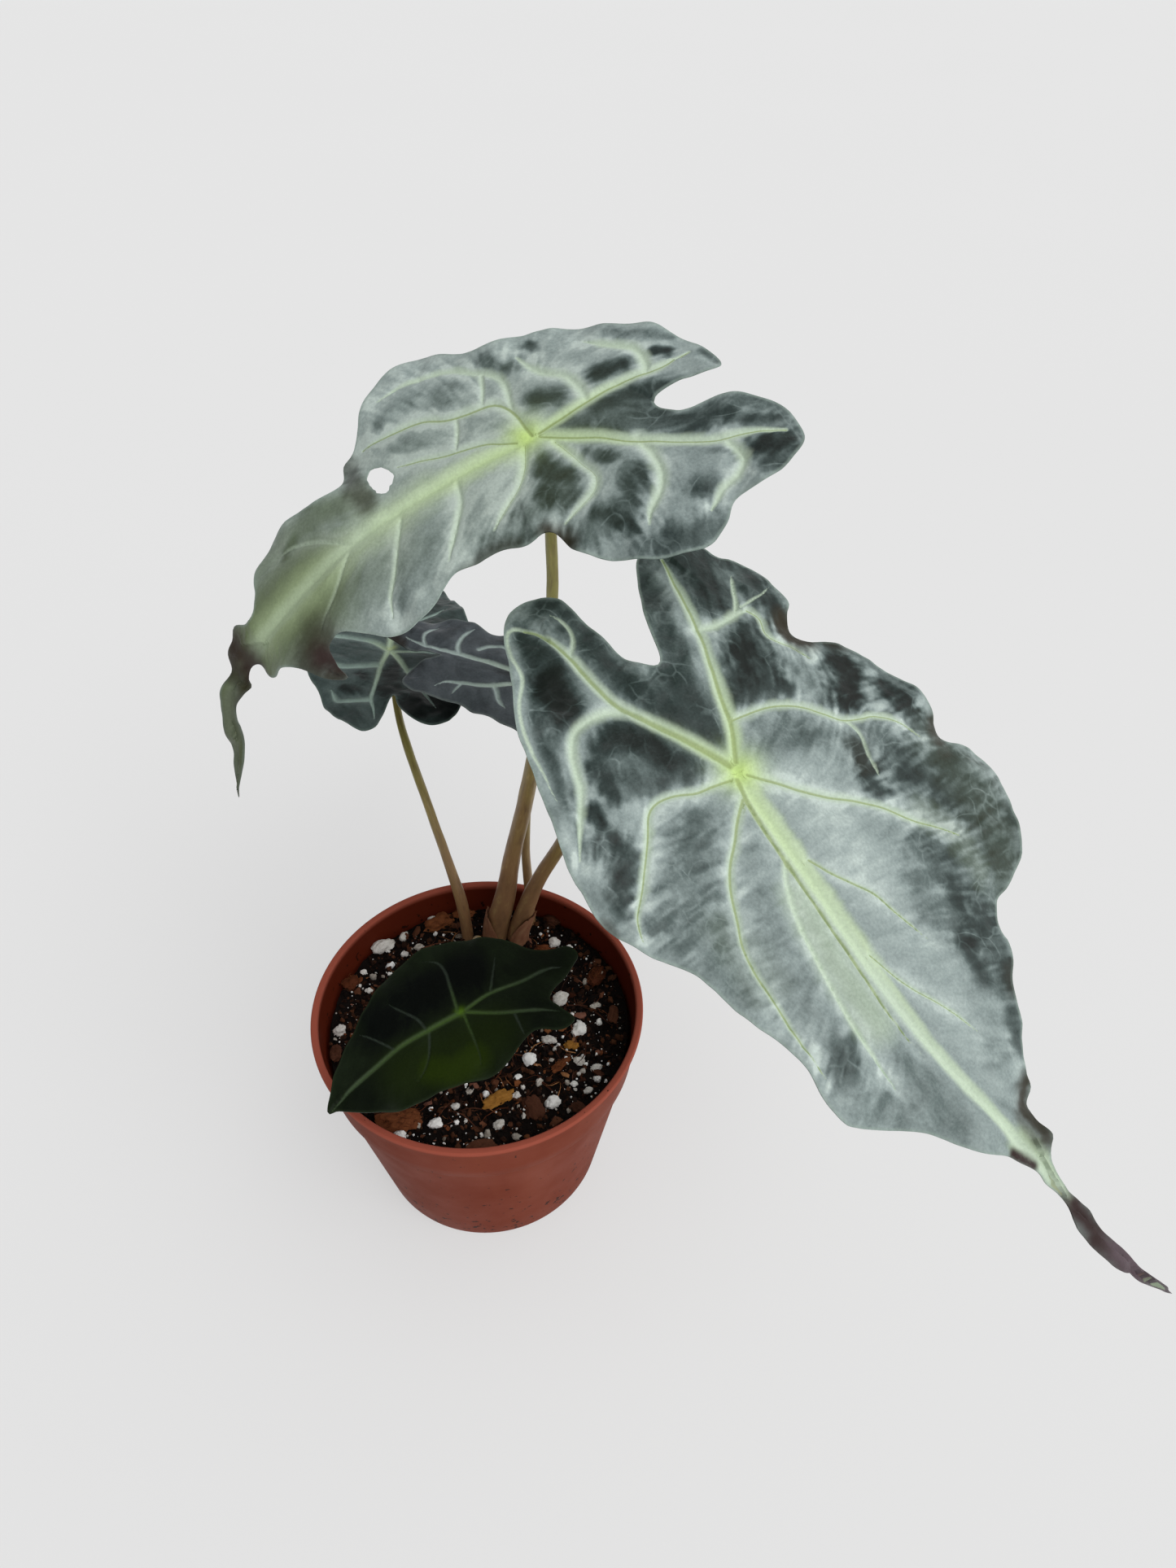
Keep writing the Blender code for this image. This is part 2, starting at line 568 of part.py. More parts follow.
def pot():
    """The round nursery pot: a thin shell with a banded rim, a rolled lip and holes in its floor."""
    outer, inner = pot_profile()
    finish = material("polypropylene_terracotta", "#8B4A3A", 0.45)
    made = turned("pot", outer + inner[::-1], finish, POT_SIDES, 0, FLOOR)
    drills = helper_collection("drain_drills")
    for k in range(DRAIN_HOLES):
        turn = 2 * math.pi * (k + 0.5) / DRAIN_HOLES
        x, y = DRAIN_CIRCLE * math.cos(turn), DRAIN_CIRCLE * math.sin(turn)
        drill = turned("drill", [(DRAIN_RADIUS, -1), (DRAIN_RADIUS, FLOOR + 1)], finish, 14, -1, FLOOR + 1)
        drill.location = (x * MM, y * MM, 0)
        move_to(drill, drills)
    bpy.context.view_layer.update()
    cut(made, drills, "DIFFERENCE")
    made.data.shade_smooth()
    made.data.set_sharp_from_angle(angle=math.radians(40))
    return made


def mix_height(x, y):
    """The height of the potting mix: lumpy, and a little higher round the crown of the plant."""
    place = Vector((x / 9, y / 9, 3.0))
    lumps = noise.fractal(place, 1.0, 2.0, 3)
    crown = math.exp(-(math.dist((x, y), CROWN) / CROWN_SPREAD) ** 2)
    return SOIL_TOP + SOIL_RELIEF * lumps + CROWN_RISE * crown - 0.8


def mix_body(finish):
    """The potting mix without its grains: it fills the pot a hair clear of the wall, under a lumpy top."""
    _, inner = pot_profile()
    wall = [(r - GAP, z) for r, z in inner]
    wall[0] = (wall[0][0], FLOOR + GAP)
    heights = np.array([z for _, z in wall])
    radii = np.array([r for r, _ in wall])
    rim = float(np.interp(SOIL_TOP, heights, radii))
    points, faces = [(0, 0, FLOOR + GAP)], []
    stack = [(r, z) for r, z in wall if z < SOIL_TOP - 4]
    for radius, height in stack:
        for k in range(POT_SIDES):
            turn = 2 * math.pi * k / POT_SIDES
            points.append((radius * math.cos(turn), radius * math.sin(turn), height))
    rings = max(3, round(rim / SOIL_SPACING))
    first = len(points)
    for ring in range(rings):
        radius = rim * (rings - ring) / rings
        for k in range(POT_SIDES):
            turn = 2 * math.pi * (k + 0.5 * (ring % 2)) / POT_SIDES if ring else 2 * math.pi * k / POT_SIDES
            x, y = radius * math.cos(turn), radius * math.sin(turn)
            points.append((x, y, mix_height(x, y)))
    points.append((0, 0, mix_height(0, 0)))
    total = len(stack) + rings
    for k in range(POT_SIDES):
        after = (k + 1) % POT_SIDES
        faces.append((0, 1 + after, 1 + k))
        for ring in range(total - 1):
            a, b = 1 + ring * POT_SIDES + k, 1 + ring * POT_SIDES + after
            faces += [(a, b, b + POT_SIDES), (a, b + POT_SIDES, a + POT_SIDES)]
        inmost = 1 + (total - 1) * POT_SIDES
        faces.append((inmost + k, inmost + after, len(points) - 1))
    return add_object("potting_mix", points, faces, finish)


def grain(centre, size, stretch, turn, draw):
    """One rough lump: a coarse ball with its corners moved in and out."""
    shape = bmesh.new()
    bmesh.ops.create_icosphere(shape, subdivisions=1, radius=1.0)
    mesh_points = []
    for corner in shape.verts:
        reach = size * draw.uniform(0.82, 1.15)
        x, y, z = corner.co.x * reach * stretch, corner.co.y * reach, corner.co.z * reach * 0.85
        mesh_points.append((centre[0] + x * math.cos(turn) - y * math.sin(turn),
                            centre[1] + x * math.sin(turn) + y * math.cos(turn), centre[2] + z))
    faces = [tuple(v.index for v in f.verts) for f in shape.faces]
    shape.free()
    return mesh_points, faces


def scatter_places(count, least_gap, reach, draw):
    """Places on the mix, kept apart from each other and from the crown of the plant."""
    made = []
    while len(made) < count:
        turn, radius = draw.uniform(0, 2 * math.pi), reach * math.sqrt(draw.random())
        x, y = radius * math.cos(turn), radius * math.sin(turn)
        clear = math.dist((x, y), CROWN) > CROWN_CLEAR
        if clear and all(math.hypot(x - a, y - b) > least_gap for a, b in made):
            made.append((x, y))
    return made


def potting_mix(stalk_holes, sheath_hole):
    """The mix with its perlite grains and bark chips fused in, and plain holes for the stalks."""
    finish = material("potting_mix", "#1C120E", 0.95)
    made = mix_body(finish)
    draw = random.Random(SOIL_SEED)
    lumps = helper_collection("lumps")
    places = scatter_places(GRAINS + CHIPS, LUMP_GAP, LUMP_REACH, draw)
    for k, (x, y) in enumerate(places):
        z = mix_height(x, y)
        if k < CHIPS:
            length = draw.uniform(*CHIP_LENGTH)
            size, stretch = length / 4.4, 2.2
        else:
            size, stretch = draw.uniform(*GRAIN_SIZE), draw.uniform(1.0, 1.25)
        points, faces = grain((x, y, z + 0.1 * size), size, stretch, draw.uniform(0, math.pi), draw)
        move_to(add_object("lump", points, faces, finish), lumps)
    cut(made, lumps, "UNION")
    holes = helper_collection("holes")
    for k, (path, radii) in enumerate(stalk_holes):
        low = [n for n in range(len(path)) if path[n][2] < SOIL_TOP + 9]
        stop = low[-1] + 2
        move_to(tube(f"hole_{k}", path[:stop], radii[:stop], finish), holes)
    points, faces = sheath_hole
    move_to(add_object("sheath_hole", points, faces, finish), holes)
    cut(made, holes, "DIFFERENCE")
    keep_largest(made)
    made.data.shade_smooth()
    made.data.set_sharp_from_angle(angle=math.radians(35))
    return made


def keep_largest(obj):
    """Drops any loose scrap that a cut left, keeping the body with the most faces."""
    shape = bmesh.new()
    shape.from_mesh(obj.data)
    left, bodies = set(shape.verts), []
    while left:
        wave, body = [left.pop()], set()
        while wave:
            corner = wave.pop()
            body.add(corner)
            for edge in corner.link_edges:
                other = edge.other_vert(corner)
                if other in left:
                    left.remove(other)
                    wave.append(other)
        bodies.append(body)
    bodies.sort(key=len)
    for body in bodies[:-1]:
        bmesh.ops.delete(shape, geom=list(body), context="VERTS")
    shape.to_mesh(obj.data)
    shape.free()


def sheath_shell(spare=0.0):
    """The dry sheath: an open curved scale that stands in the mix and narrows to a ragged point.

    With some spare it is the hole for it, which opens into the stalk's own hole.
    """
    path, _ = stalk_path(STALKS["petiole_right"])
    points = []
    depth = SHEATH_DEPTH + spare
    for ring in range(SHEATH_RINGS):
        share = ring / (SHEATH_RINGS - 1)
        z = SOIL_TOP - depth + share * (SHEATH_HEIGHT + depth)
        rise = max(0.0, (z - SOIL_TOP) / SHEATH_HEIGHT)
        middle = [np.interp(z, path[:, 2], path[:, axis]) for axis in (0, 1)]
        half_arc = (SHEATH_ARC[1] - SHEATH_ARC[0]) / 2 * (1 - 0.72 * rise ** 1.6)
        centre_arc = (SHEATH_ARC[0] + SHEATH_ARC[1]) / 2 - 25 * rise
        inside_r = SHEATH_INSIDE + SHEATH_FLARE * rise - 5 * spare
        outside_r = SHEATH_INSIDE + SHEATH_THICK + SHEATH_FLARE * rise + spare
        extra = math.degrees(spare / inside_r) if spare else 0
        sweep = np.radians(np.linspace(centre_arc - half_arc - extra, centre_arc + half_arc + extra,
                                       SHEATH_SIDES + 1))
        for radius, turns in ((outside_r, sweep), (inside_r, sweep[::-1])):
            for turn in turns:
                points.append((middle[0] + radius * math.cos(turn),
                               middle[1] + radius * math.sin(turn), z))
    ring_size = 2 * (SHEATH_SIDES + 1)
    faces = []
    for ring in range(SHEATH_RINGS - 1):
        for k in range(ring_size):
            a, b = ring * ring_size + k, ring * ring_size + (k + 1) % ring_size
            faces += [(a, b, b + ring_size), (a, b + ring_size, a + ring_size)]
    for ring, flip in ((0, True), (SHEATH_RINGS - 1, False)):
        for k in range(SHEATH_SIDES):
            a = ring * ring_size + k
            b = ring * ring_size + ring_size - 1 - k
            quad = (a, a + 1, b - 1, b)
            faces.append(quad[::-1] if flip else quad)
    return points, faces


def main():
    for obj in list(bpy.data.objects):
        bpy.data.objects.remove(obj)
    pot()
    for name, leaf in LEAVES.items():
        blade(name, leaf)
    holes = []
    for name, stalk in STALKS.items():
        path, radii = stalk_path(stalk)
        tube(name, path, radii, material(name + "_skin", stalk["colour"], 0.4))
        holes.append(stalk_path(stalk, GAP))
    points, faces = sheath_shell()
    add_object("dry_sheath", points, faces, material("dry_sheath_paper", "#9A6A50", 0.7))
    potting_mix(holes, sheath_shell(GAP))


main()
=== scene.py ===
"""The looks of a small potted alocasia: veined silver leaves, stalks, gritty mix, plastic pot.

Laid out as a Blender add-on and run as a script. Sizes in the tables are in millimetres.
"""

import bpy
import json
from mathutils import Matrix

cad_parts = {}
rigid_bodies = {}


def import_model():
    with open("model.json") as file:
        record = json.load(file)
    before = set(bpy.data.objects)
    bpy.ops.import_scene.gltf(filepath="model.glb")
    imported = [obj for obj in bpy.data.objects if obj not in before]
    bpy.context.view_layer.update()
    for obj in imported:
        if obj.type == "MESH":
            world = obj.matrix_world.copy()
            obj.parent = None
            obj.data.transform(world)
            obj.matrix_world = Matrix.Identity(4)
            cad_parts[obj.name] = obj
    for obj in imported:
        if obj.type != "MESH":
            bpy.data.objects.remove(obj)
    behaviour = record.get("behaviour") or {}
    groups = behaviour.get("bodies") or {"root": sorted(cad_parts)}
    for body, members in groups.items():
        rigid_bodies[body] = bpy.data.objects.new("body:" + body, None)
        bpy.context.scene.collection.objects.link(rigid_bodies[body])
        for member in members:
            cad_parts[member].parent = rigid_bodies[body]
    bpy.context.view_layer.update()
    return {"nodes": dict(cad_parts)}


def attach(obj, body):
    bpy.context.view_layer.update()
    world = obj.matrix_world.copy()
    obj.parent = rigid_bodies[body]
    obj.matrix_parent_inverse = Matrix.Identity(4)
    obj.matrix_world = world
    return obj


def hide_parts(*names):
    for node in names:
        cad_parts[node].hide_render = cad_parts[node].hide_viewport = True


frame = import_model()

import json
import math
import random

import bmesh
import bpy
import numpy as np
from bpy.props import FloatProperty, FloatVectorProperty, IntProperty, PointerProperty
from mathutils import Vector, noise
from mathutils.geometry import delaunay_2d_cdt

bl_info = {
    "name": "Potted Alocasia",
    "version": (1, 0, 0),
    "blender": (4, 5, 0),
    "location": "3D View > Sidebar > Alocasia",
    "description": "Dresses a small potted alocasia: leaves, stalks, potting mix, pot and stage",
    "category": "Object",
}

MM = 0.001
ROOT = "root"

# Form shared with the solids
BLADE_THICK = 0.9
RIB_DROP = 0.9
RUFFLE_REACH = 0.34
QUILT_REACH = 3.5
QUILT_MARGIN = 8.0
STEM_DEPTH = 12.0
STALK_FLARE = 1.25
SOIL_TOP = 70.0
CROWN = (4.0, 36.0)
CROWN_RISE = 1.2
CROWN_SPREAD = 16.0

# Each leaf's first veins are its ribs: the midrib and one into each basal lobe
RIBS = 3
GLOW_REACH = (64, 32, 32, 14)  # How far the green glow runs along each rib, and along other veins
# On the silver blades the olive line is painted shade in each vein's groove
MIDRIB_LINE, SIDE_LINE = 0.42, 0.62  # Scale of the olive line in the midrib and in other veins
PATH_STEP = 1.5  # Between the points of a drawn vein or brush stroke
BATCH = 6000  # Points that are measured against a path at once

# Stalks end this far below the middle of their blades
STALK_SINK = 0.9

# The pot's band under the lip, its drain holes, and the face of the mix in it
BAND_HEIGHT, BAND_STEP, BAND_DRAFT, LIP_OVERHANG = 19.5, 1.2, 1.9, 1.0
DRAINS, DRAIN_RADIUS, DRAIN_CIRCLE = 6, 3.5, 27
MIX_REACH, MIX_FACE = 48.6, 64
FLOOR_REACH = 30.0  # In metres

# Each leaf: junction is where the stalk meets the blade. The spine gives the blade's dip below
# level, its heading from +X and its roll, in degrees, at distances along the midrib from the
# junction. Every other place is (along, across) from the junction, and across is positive on the
# left of the heading. The outline is the solid's, and the margin is the same edge drawn finer.
# veins: half width at the root and at the tip, width of the olive line, places. Ribs come first.
# tones: brush strokes that set how silver the blade is (tone, half width, places).
# tints: brush strokes of a named colour (tint, strength, half width, places). Some dark brown and
# maroon strokes at folds and curls are painted shade.
# grain: the way that the fine streaks run (along, across, degrees, strength).
# tone: how silver the blade is where no stroke covers it.
# warm: how strong the green glow at the junction is, and its reach.
LEAVES = {
    "leaf_top": dict(
        slot="silver_blade", finish="silver", junction=(24, 27, 265),
        spine=(
            (-62, 8, 182, -20), (0, 18, 186, -22), (40, 30, 192, -22), (80, 46, 196, -20),
            (100, 62, 194, -35), (118, 82, 188, -70), (150, 89, 184, -70)),
        outline=(
            (-29, -1), (-34, 4), (-42, 3), (-50, 5), (-58, 10), (-61, 17.5), (-57.5, 24),
            (-50, 29.6), (-42.5, 31.5), (-39, 37), (-33, 42), (-26, 43), (-18, 41.5), (-8, 37),
            (-2, 33), (2, 27), (8, 28), (15, 26), (21.5, 25.5), (29, 26), (34, 28), (41, 31.5),
            (53, 30), (60, 24.5), (67, 19), (72, 19), (73, 24), (72, 29), (77, 25.5), (82, 18),
            (87, 13), (93.5, 9.8), (94.8, 3.4), (97.8, 1), (100.5, 2.4), (101, 5), (105, 3.5),
            (110, 1.4), (116, 2), (128, 2.5), (135, 1.2), (144, -0.7), (134, -1.2), (126, -1.4),
            (112, -2.8), (107, -3.8), (102.5, -3.4), (99.6, -6.7), (95.5, -7.7), (92.4, -9.4),
            (87.9, -4.8), (84, -5.4), (80, -14), (74, -18), (65, -19), (55, -16), (49, -17),
            (47, -22.5), (42.5, -25), (35.5, -35), (29, -40), (20, -41), (10, -34), (-1, -33),
            (-10, -33), (-22, -28), (-33, -23), (-42, -15), (-46, -7), (-42, -4), (-35, -4)),
        hole=(
            (41.6, -14.4), (38, -13.2), (35.6, -9.8), (36.4, -6.6), (39.6, -5.4), (41.8, -9.4)),
        veins=(
            (2.2, 3.0, 0.0, ((0, 0), (5, 0.4), (16, 1.2), (28, 2), (40, 2), (52, 2), (63, 2.4),
                (84, 3), (97, 0), (118, 0), (136, 0))),
            (2.1, 1.5, 0.5, ((-0.7, 0.1), (-7.2, 3.2), (-14.2, 5.8), (-20, 8.9), (-27, 11.4),
                (-34, 13.6), (-41, 15.2), (-48.4, 15), (-57, 15.4))),
            (2.0, 1.5, 0.6, ((-0.7, -1), (-7.2, -3.2), (-13, -5.4), (-19, -7.6), (-26, -9),
                (-32, -9.8), (-39, -13))),
            (1.8, 1.1, 0.0, ((-23, 9.5), (-25.4, 14.2), (-26.6, 20), (-25.4, 25), (-22, 29.5),
                (-21, 33))),
            (1.5, 1.0, 0.1, ((-3.8, 3), (-8.4, 10.7), (-11.3, 16), (-10, 20), (-6, 23),
                (-1.3, 26))),
            (1.5, 1.0, 0.0, ((-43, 15.6), (-46, 22), (-43.6, 26), (-40, 28), (-36, 33))),
            (1.5, 0.9, 0.15, ((3.2, 1), (4.6, 7), (7.5, 12), (12, 16), (16.5, 20))),
            (1.2, 0.7, 0.0, ((21.6, 2.6), (22.2, 8.4), (24.6, 13), (28, 18), (30.5, 22))),
            (0.9, 0.5, 0.0, ((38, 4), (41.6, 10.7), (45.2, 16.6), (48.7, 21.3), (51, 26))),
            (1.6, 1.0, 0.7, ((1, -1), (2, -3.8), (3.2, -8), (5, -11.6), (8, -14.4), (13.4, -14.8),
                (19.4, -16), (24.8, -19.2), (31.4, -20.6), (41, -22.4))),
            (1.1, 0.8, 0.5, ((5, -0.5), (8.6, -2), (12.2, -3.8), (18.2, -5), (23, -6.2), (27.8, -8),
                (34, -10))),
            (1.6, 1.0, 0.0, ((-13.6, -5.8), (-12.5, -10.5), (-10, -15.2), (-6, -18), (-3, -21),
                (0, -26))),
            (1.4, 1.0, 0.0, ((-28.4, -9.3), (-28.6, -12.8), (-27, -17.5), (-21.3, -21),
                (-16, -25))),
            (1.0, 0.8, 0.0, ((4, -11), (4.2, -20), (6.8, -23.6), (10.4, -26.6), (14.6, -30.2),
                (18.8, -32), (27.2, -33.2), (33, -32))),
            (0.7, 0.5, 0.0, ((8.6, -25), (9.2, -20.6), (10.4, -15))),
            (0.7, 0.5, 0.0, ((17, -15.2), (17.6, -11), (19.4, -5.6))),
            (0.6, 0.4, 0.0, ((54, 3.4), (62, 10), (71, 15))),
            (0.6, 0.4, 0.0, ((52, 2), (59, -5), (66, -10), (73, -13)))),
        tones=(
            (0.8, 20, ((-58, 16), (-36, 18), (-20, 20))),
            (0.96, 14, ((-40, -12), (-16, -16), (0, -22))),
            (0.85, 9, ((-16, 32), (-4, 24), (10, 23))),
            (0.45, 4.2, ((-27, 1), (-17, 0.6), (-8, 0))),
            (0.3, 2.6, ((-30, 3), (-18, 5), (-10, 2))),
            (0.2, 2.8, ((-34, -2), (-28, -3.6), (-16, -3))),
            (0.28, 3.2, ((-44, 8.5), (-34, 8), (-27, 6))),
            (0.25, 1.7, ((-57, 12.6), (-52, 12.2), (-45, 11.6))),
            (0.45, 1.8, ((-57, 9.4), (-48, 6.6))), (0.1, 4.0, ((-56, 19.5), (-50, 20.5))),
            (0.4, 1.6, ((-57, 24), (-50, 27))), (0.2, 3.3, ((-37, 27), (-35, 26.4))),
            (0.42, 4, ((-36, 37), (-28, 39.5), (-20, 38))), (0.4, 0.9, ((-44, 19.5), (-38, 18.4))),
            (0.85, 4, ((-36, 21), (-31, 19))), (0.15, 3.6, ((-15.5, 29.6), (-10, 27.4))),
            (0.3, 3.6, ((-20, 20), (-18, 26))), (0.3, 1.8, ((-16, 13), (-10.5, 9.6))),
            (0.55, 3, ((-8, 31), (-3, 29))), (0.12, 3.4, ((-4.8, 14.4), (0, 9.8))),
            (0.22, 3.0, ((-5, 20.6), (1.6, 17.2))), (0.2, 2.9, ((-7, -9.2), (-2, -10.4))),
            (0.12, 2.3, ((-23.4, -13.4), (-16.6, -12))),
            (0.05, 1.5, ((-34, -14.4), (-31.5, -15.2))), (0.95, 2.6, ((-43, -5), (-41.4, -10))),
            (0.5, 1.3, ((-45.4, -8), (-42.4, -13))),
            (0.6, 1.6, ((-36, -19), (-28, -21), (-22, -25))),
            (0.35, 1.5, ((-4.5, -27), (-3.2, -28.8))), (0.6, 2.0, ((-1.4, -22), (-0.6, -25))),
            (0.5, 2.0, ((4, -22.5), (7, -28.5))), (0.68, 2.2, ((19.4, -25), (18.2, -19.6))),
            (0.74, 2.0, ((13.4, -23.6),)), (0.78, 1.8, ((14, -11.6),)),
            (0.66, 2.6, ((30, -28.4), (25, -27.6))), (0.5, 1.8, ((34.4, -25),)),
            (0.76, 2.6, ((31, -16.4), (24, -13))), (0.9, 3.5, ((20, -33), (31, -31))),
            (0.62, 3.6, ((8, 21), (10, 25), (18, 24))), (0.85, 4, ((30, 12), (33, 19))),
            (0.62, 3, ((43, 22), (46, 24))), (0.8, 5, ((38, 18), (60, 14))),
            (0.35, 1.8, ((65, -11.4), (69, -11))), (0.75, 4, ((52, -9), (60, -13))),
            (1.2, 3, ((10, 5), (14, 9)))),
        tints=(
            ("olive", 0.2, 26, ((10, 4), (30, 4))), ("olive", 0.42, 12, ((44, 8), (60, 10))),
            ("olive", 1.0, 16, ((68, 4), (110, 0), (145, 0))),
            ("olive", 0.62, 6, ((46, -8), (60, -12), (76, -14))),
            ("pale", 0.75, 3.4, ((8, 1), (24, 2), (44, 2.4))),
            ("pale", 0.5, 5.0, ((30, 2), (60, 3), (84, 3))),
            ("brown", 0.95, 2.4, ((-1, 30), (3, 27))),
            ("brown", 0.6, 2.0, ((13, 26), (20, 25), (27, 27))),
            ("brown", 0.62, 2.6, ((44, -5), (45.5, -12), (46, -22))),
            # painted shadow: the dark brown and maroon strokes round the fold at (70, 22)
            ("brown", 0.8, 5.0, ((72, 16), (78, 18), (80, 24))),
            ("maroon", 0.95, 3.4, ((71, 24), (74.5, 20))), ("brown", 0.9, 3, ((71, 27), (76, 26))),
            ("maroon", 0.9, 4, ((96, -8), (97, 4), (98, 8))),
            ("brown", 0.85, 4, ((102, -6), (103, 4), (110, 3))),
            ("brown", 0.62, 4, ((108, 0), (120, 0), (146, -0.5)))),
        grain=(
            (-35, 36, 75, 0.6), (-20, 26, 120, 0.9), (-8, 14, 40, 0.6), (-50, 22, 30, 0.7),
            (-20, 1, 165, 0.3), (-5, -10, 170, 0.3), (-20, -20, 20, 0.7), (0, -25, 75, 0.9),
            (15, -25, 110, 0.8), (30, -25, 125, 0.7), (15, 12, 30, 0.7), (12, 22, 60, 0.9),
            (35, 16, 40, 0.6), (55, 16, 30, 0.5), (60, -10, 150, 0.5), (30, 2, 5, 0.3),
            (80, 5, 5, 0.5)),
        folds=(
            (1, 30, 4, -2.2), (70, 22, 6, -3.0), (45, -20, 5, -2.0), (96, 4, 4, -1.5),
            (-9, 12, 3, -0.5)),
        tone=1.08, warm=(1.0, 4.8), crumple=0.5, droop=0.05, wave=1.2, wave_length=34,
        wave_phase=0.6, quilt=1.0, mesh=0.95, seed=3),
    "leaf_right": dict(
        slot="silver_blade", finish="silver", junction=(71, -24, 208),
        spine=(
            (-66, 10, -48, 4), (0, 25, -48, 4), (60, 31, -47, 4), (120, 38, -45, 4),
            (140, 42, -40, 4), (175, 44, -36, 4)),
        outline=(
            (-31, 1.5), (-37, 6), (-50, 14), (-61, 22), (-64, 30), (-58, 38), (-51, 43), (-43, 46),
            (-27, 46), (-18, 47), (-10, 50), (1, 55), (10, 57.5), (19, 59), (29, 60), (41, 61.5),
            (51, 59), (60, 53), (63, 45), (64, 37), (72, 31), (81, 26), (89, 21), (98.5, 12),
            (105, 9), (111.5, 9), (115, 5.6), (119, 4.2), (126, 4), (135, 5), (144, 6.6),
            (152.5, 8.6), (160.5, 11.2), (166, 12.7), (156, 7.5), (148, 3.9), (139, 0.8), (131, 0),
            (123, -0.4), (115, -1.4), (109, -4), (102, -11), (92, -20), (80, -33), (75, -34.6),
            (67.5, -34.4), (60, -34), (47.5, -39), (30.5, -43), (21, -48.5), (10.5, -52), (-3, -50),
            (-20, -44), (-38, -37.5), (-51, -29), (-62, -22), (-66, -16.5), (-65, -10), (-60, -5.5),
            (-50, -4), (-39, -3)),
        margin=(
            (-31, 1.5), (-37, 5.5), (-44.5, 9), (-50, 13.3), (-56, 17.5), (-61, 22), (-64, 30),
            (-59, 36.5), (-54, 39.5), (-49.5, 40.5), (-46, 44.5), (-41.5, 46.6), (-34, 46.3),
            (-27.5, 45.6), (-25, 42.9), (-21, 40.8), (-17.5, 41.2), (-15, 43), (-13.2, 46),
            (-11, 49.2), (-7, 51), (-3, 53.2), (2, 55.6), (7, 57), (12, 57.8), (18, 57.4),
            (20.5, 56), (23, 54.9), (25.5, 55.6), (28, 58), (31, 60.4), (35, 61.6), (40, 60.9),
            (45, 60), (49.5, 58.3), (53.7, 54.9), (57.4, 53), (60.5, 51), (62.4, 46.6), (63.7, 41),
            (64.3, 36.6), (67.4, 32.3), (70.5, 30.4), (73, 30), (77, 27.3), (80.5, 23.8),
            (84.3, 21.6), (89.5, 20.4), (93, 17.3), (95.5, 14.8), (98.7, 12.7), (102.4, 12.4),
            (105, 8.8), (108, 7.4), (111.6, 7.5), (113.7, 4.9), (116.4, 3.2), (123, 3), (128, 4.6),
            (133, 5.8), (138, 5.4), (144, 6.4), (152, 7.8), (158, 9.8), (165.5, 12.8), (156, 7.2),
            (150.5, 5), (148, 2.9), (144.3, 1), (138, -0.3), (132, -1.2), (129.5, -0.4),
            (126.8, 1.2), (124, 1.4), (119.3, 0), (115.5, -0.9), (111.8, -2.8), (108.5, -4.8),
            (103, -10.9), (98, -14.6), (93, -17.8), (89.3, -21.5), (84.3, -27.8), (80.5, -32.1),
            (77.2, -34.6), (70.5, -35.1), (63, -34), (57, -34.6), (49.3, -37.5), (40.5, -40),
            (31.8, -43.2), (24.3, -47.8), (19.3, -49.6), (11.8, -51.3), (4.3, -51.3), (-3.2, -49.8),
            (-10.7, -47.6), (-20.7, -43.6), (-31, -40), (-38, -37.5), (-45, -33), (-51, -29),
            (-62, -22), (-66, -16.5), (-65, -10), (-60, -5.5), (-50, -4), (-39, -3)),
        hole=(),
        veins=(
            (2.5, 1.2, 0.0, ((0, -1), (7, -2.6), (19, -3.6), (32, -4.4), (44, -5.2), (57, -6),
                (70, -6), (82, -5), (94, -3.4), (107, -1), (121, 1), (150, 6))),
            (2.3, 1.5, 1.6, ((0, -2), (-9, -6), (-17, -9.8), (-23.6, -13), (-29, -14.8), (-37, -15),
                (-46, -14.8), (-54.6, -16), (-58.6, -18))),
            (2.2, 1.6, 1.1, ((0, 0), (-8, 5.7), (-15.8, 9), (-23.6, 12.8), (-31.3, 16.8),
                (-41.3, 20.8), (-49, 24), (-57, 27.4))),
            (0.5, 0.4, 0.0, ((-56, -16.4), (-60.4, -19), (-60.4, -22), (-54.6, -25.6),
                (-49.2, -27.4), (-46.2, -28.6), (-40.8, -34), (-35.4, -37), (-25.8, -39.6),
                (-16, -42))),
            (0.7, 0.4, 0.0, ((-44.6, -14.8), (-46.2, -13.4), (-48, -11.2), (-50.4, -9.6),
                (-53.4, -9.2), (-58, -10.6))),
            (1.4, 1.2, 0.0, ((-33.6, 17.3), (-32, 21.8), (-31.6, 27.3), (-31.8, 31), (-31, 34))),
            (0.7, 0.4, 0.0, ((-32, 30), (-35, 33), (-39, 36), (-43, 39.6))),
            (0.4, 0.25, 0.0, ((-33, 33), (-33, 40), (-34, 45))),
            (1.0, 0.7, 0.3, ((-31.4, 33.6), (-27.4, 34.6), (-23.6, 32.4), (-20, 33), (-15.8, 36),
                (-11, 37.4))),
            (1.3, 0.8, 0.5, ((-9, 6.2), (-7.4, 15), (-5.8, 19.6), (-2.4, 25), (3, 29.6),
                (6.4, 32.4), (8.7, 37.3), (10, 41), (14.5, 45.4), (21, 48.6))),
            (0.6, 0.4, 0.0, ((7, 33), (12, 33.6), (17, 31.6), (23, 30))),
            (1.2, 1.0, 0.7, ((4.2, 0.1), (9.8, 5), (14.2, 8.6), (19.8, 14), (24.2, 19.4),
                (29.8, 25), (36.4, 29.6), (41, 34), (46, 38))),
            (0.6, 0.4, 0.55, ((28.7, -1.4), (34.2, 1.2), (38.7, 4), (44.2, 7.2), (50, 8.6),
                (60, 11.6))),
            (0.7, 0.4, 0.3, ((54, -4), (64, -1), (74, 4), (84, 8))),
            (1.7, 0.7, 0.0, ((-25.2, -14.3), (-27.4, -18.2), (-28.2, -23.8), (-27.2, -28.4),
                (-23.6, -31.6), (-19, -34), (-14.7, -36), (-10, -40), (-5.8, -43.8), (-1.3, -47))),
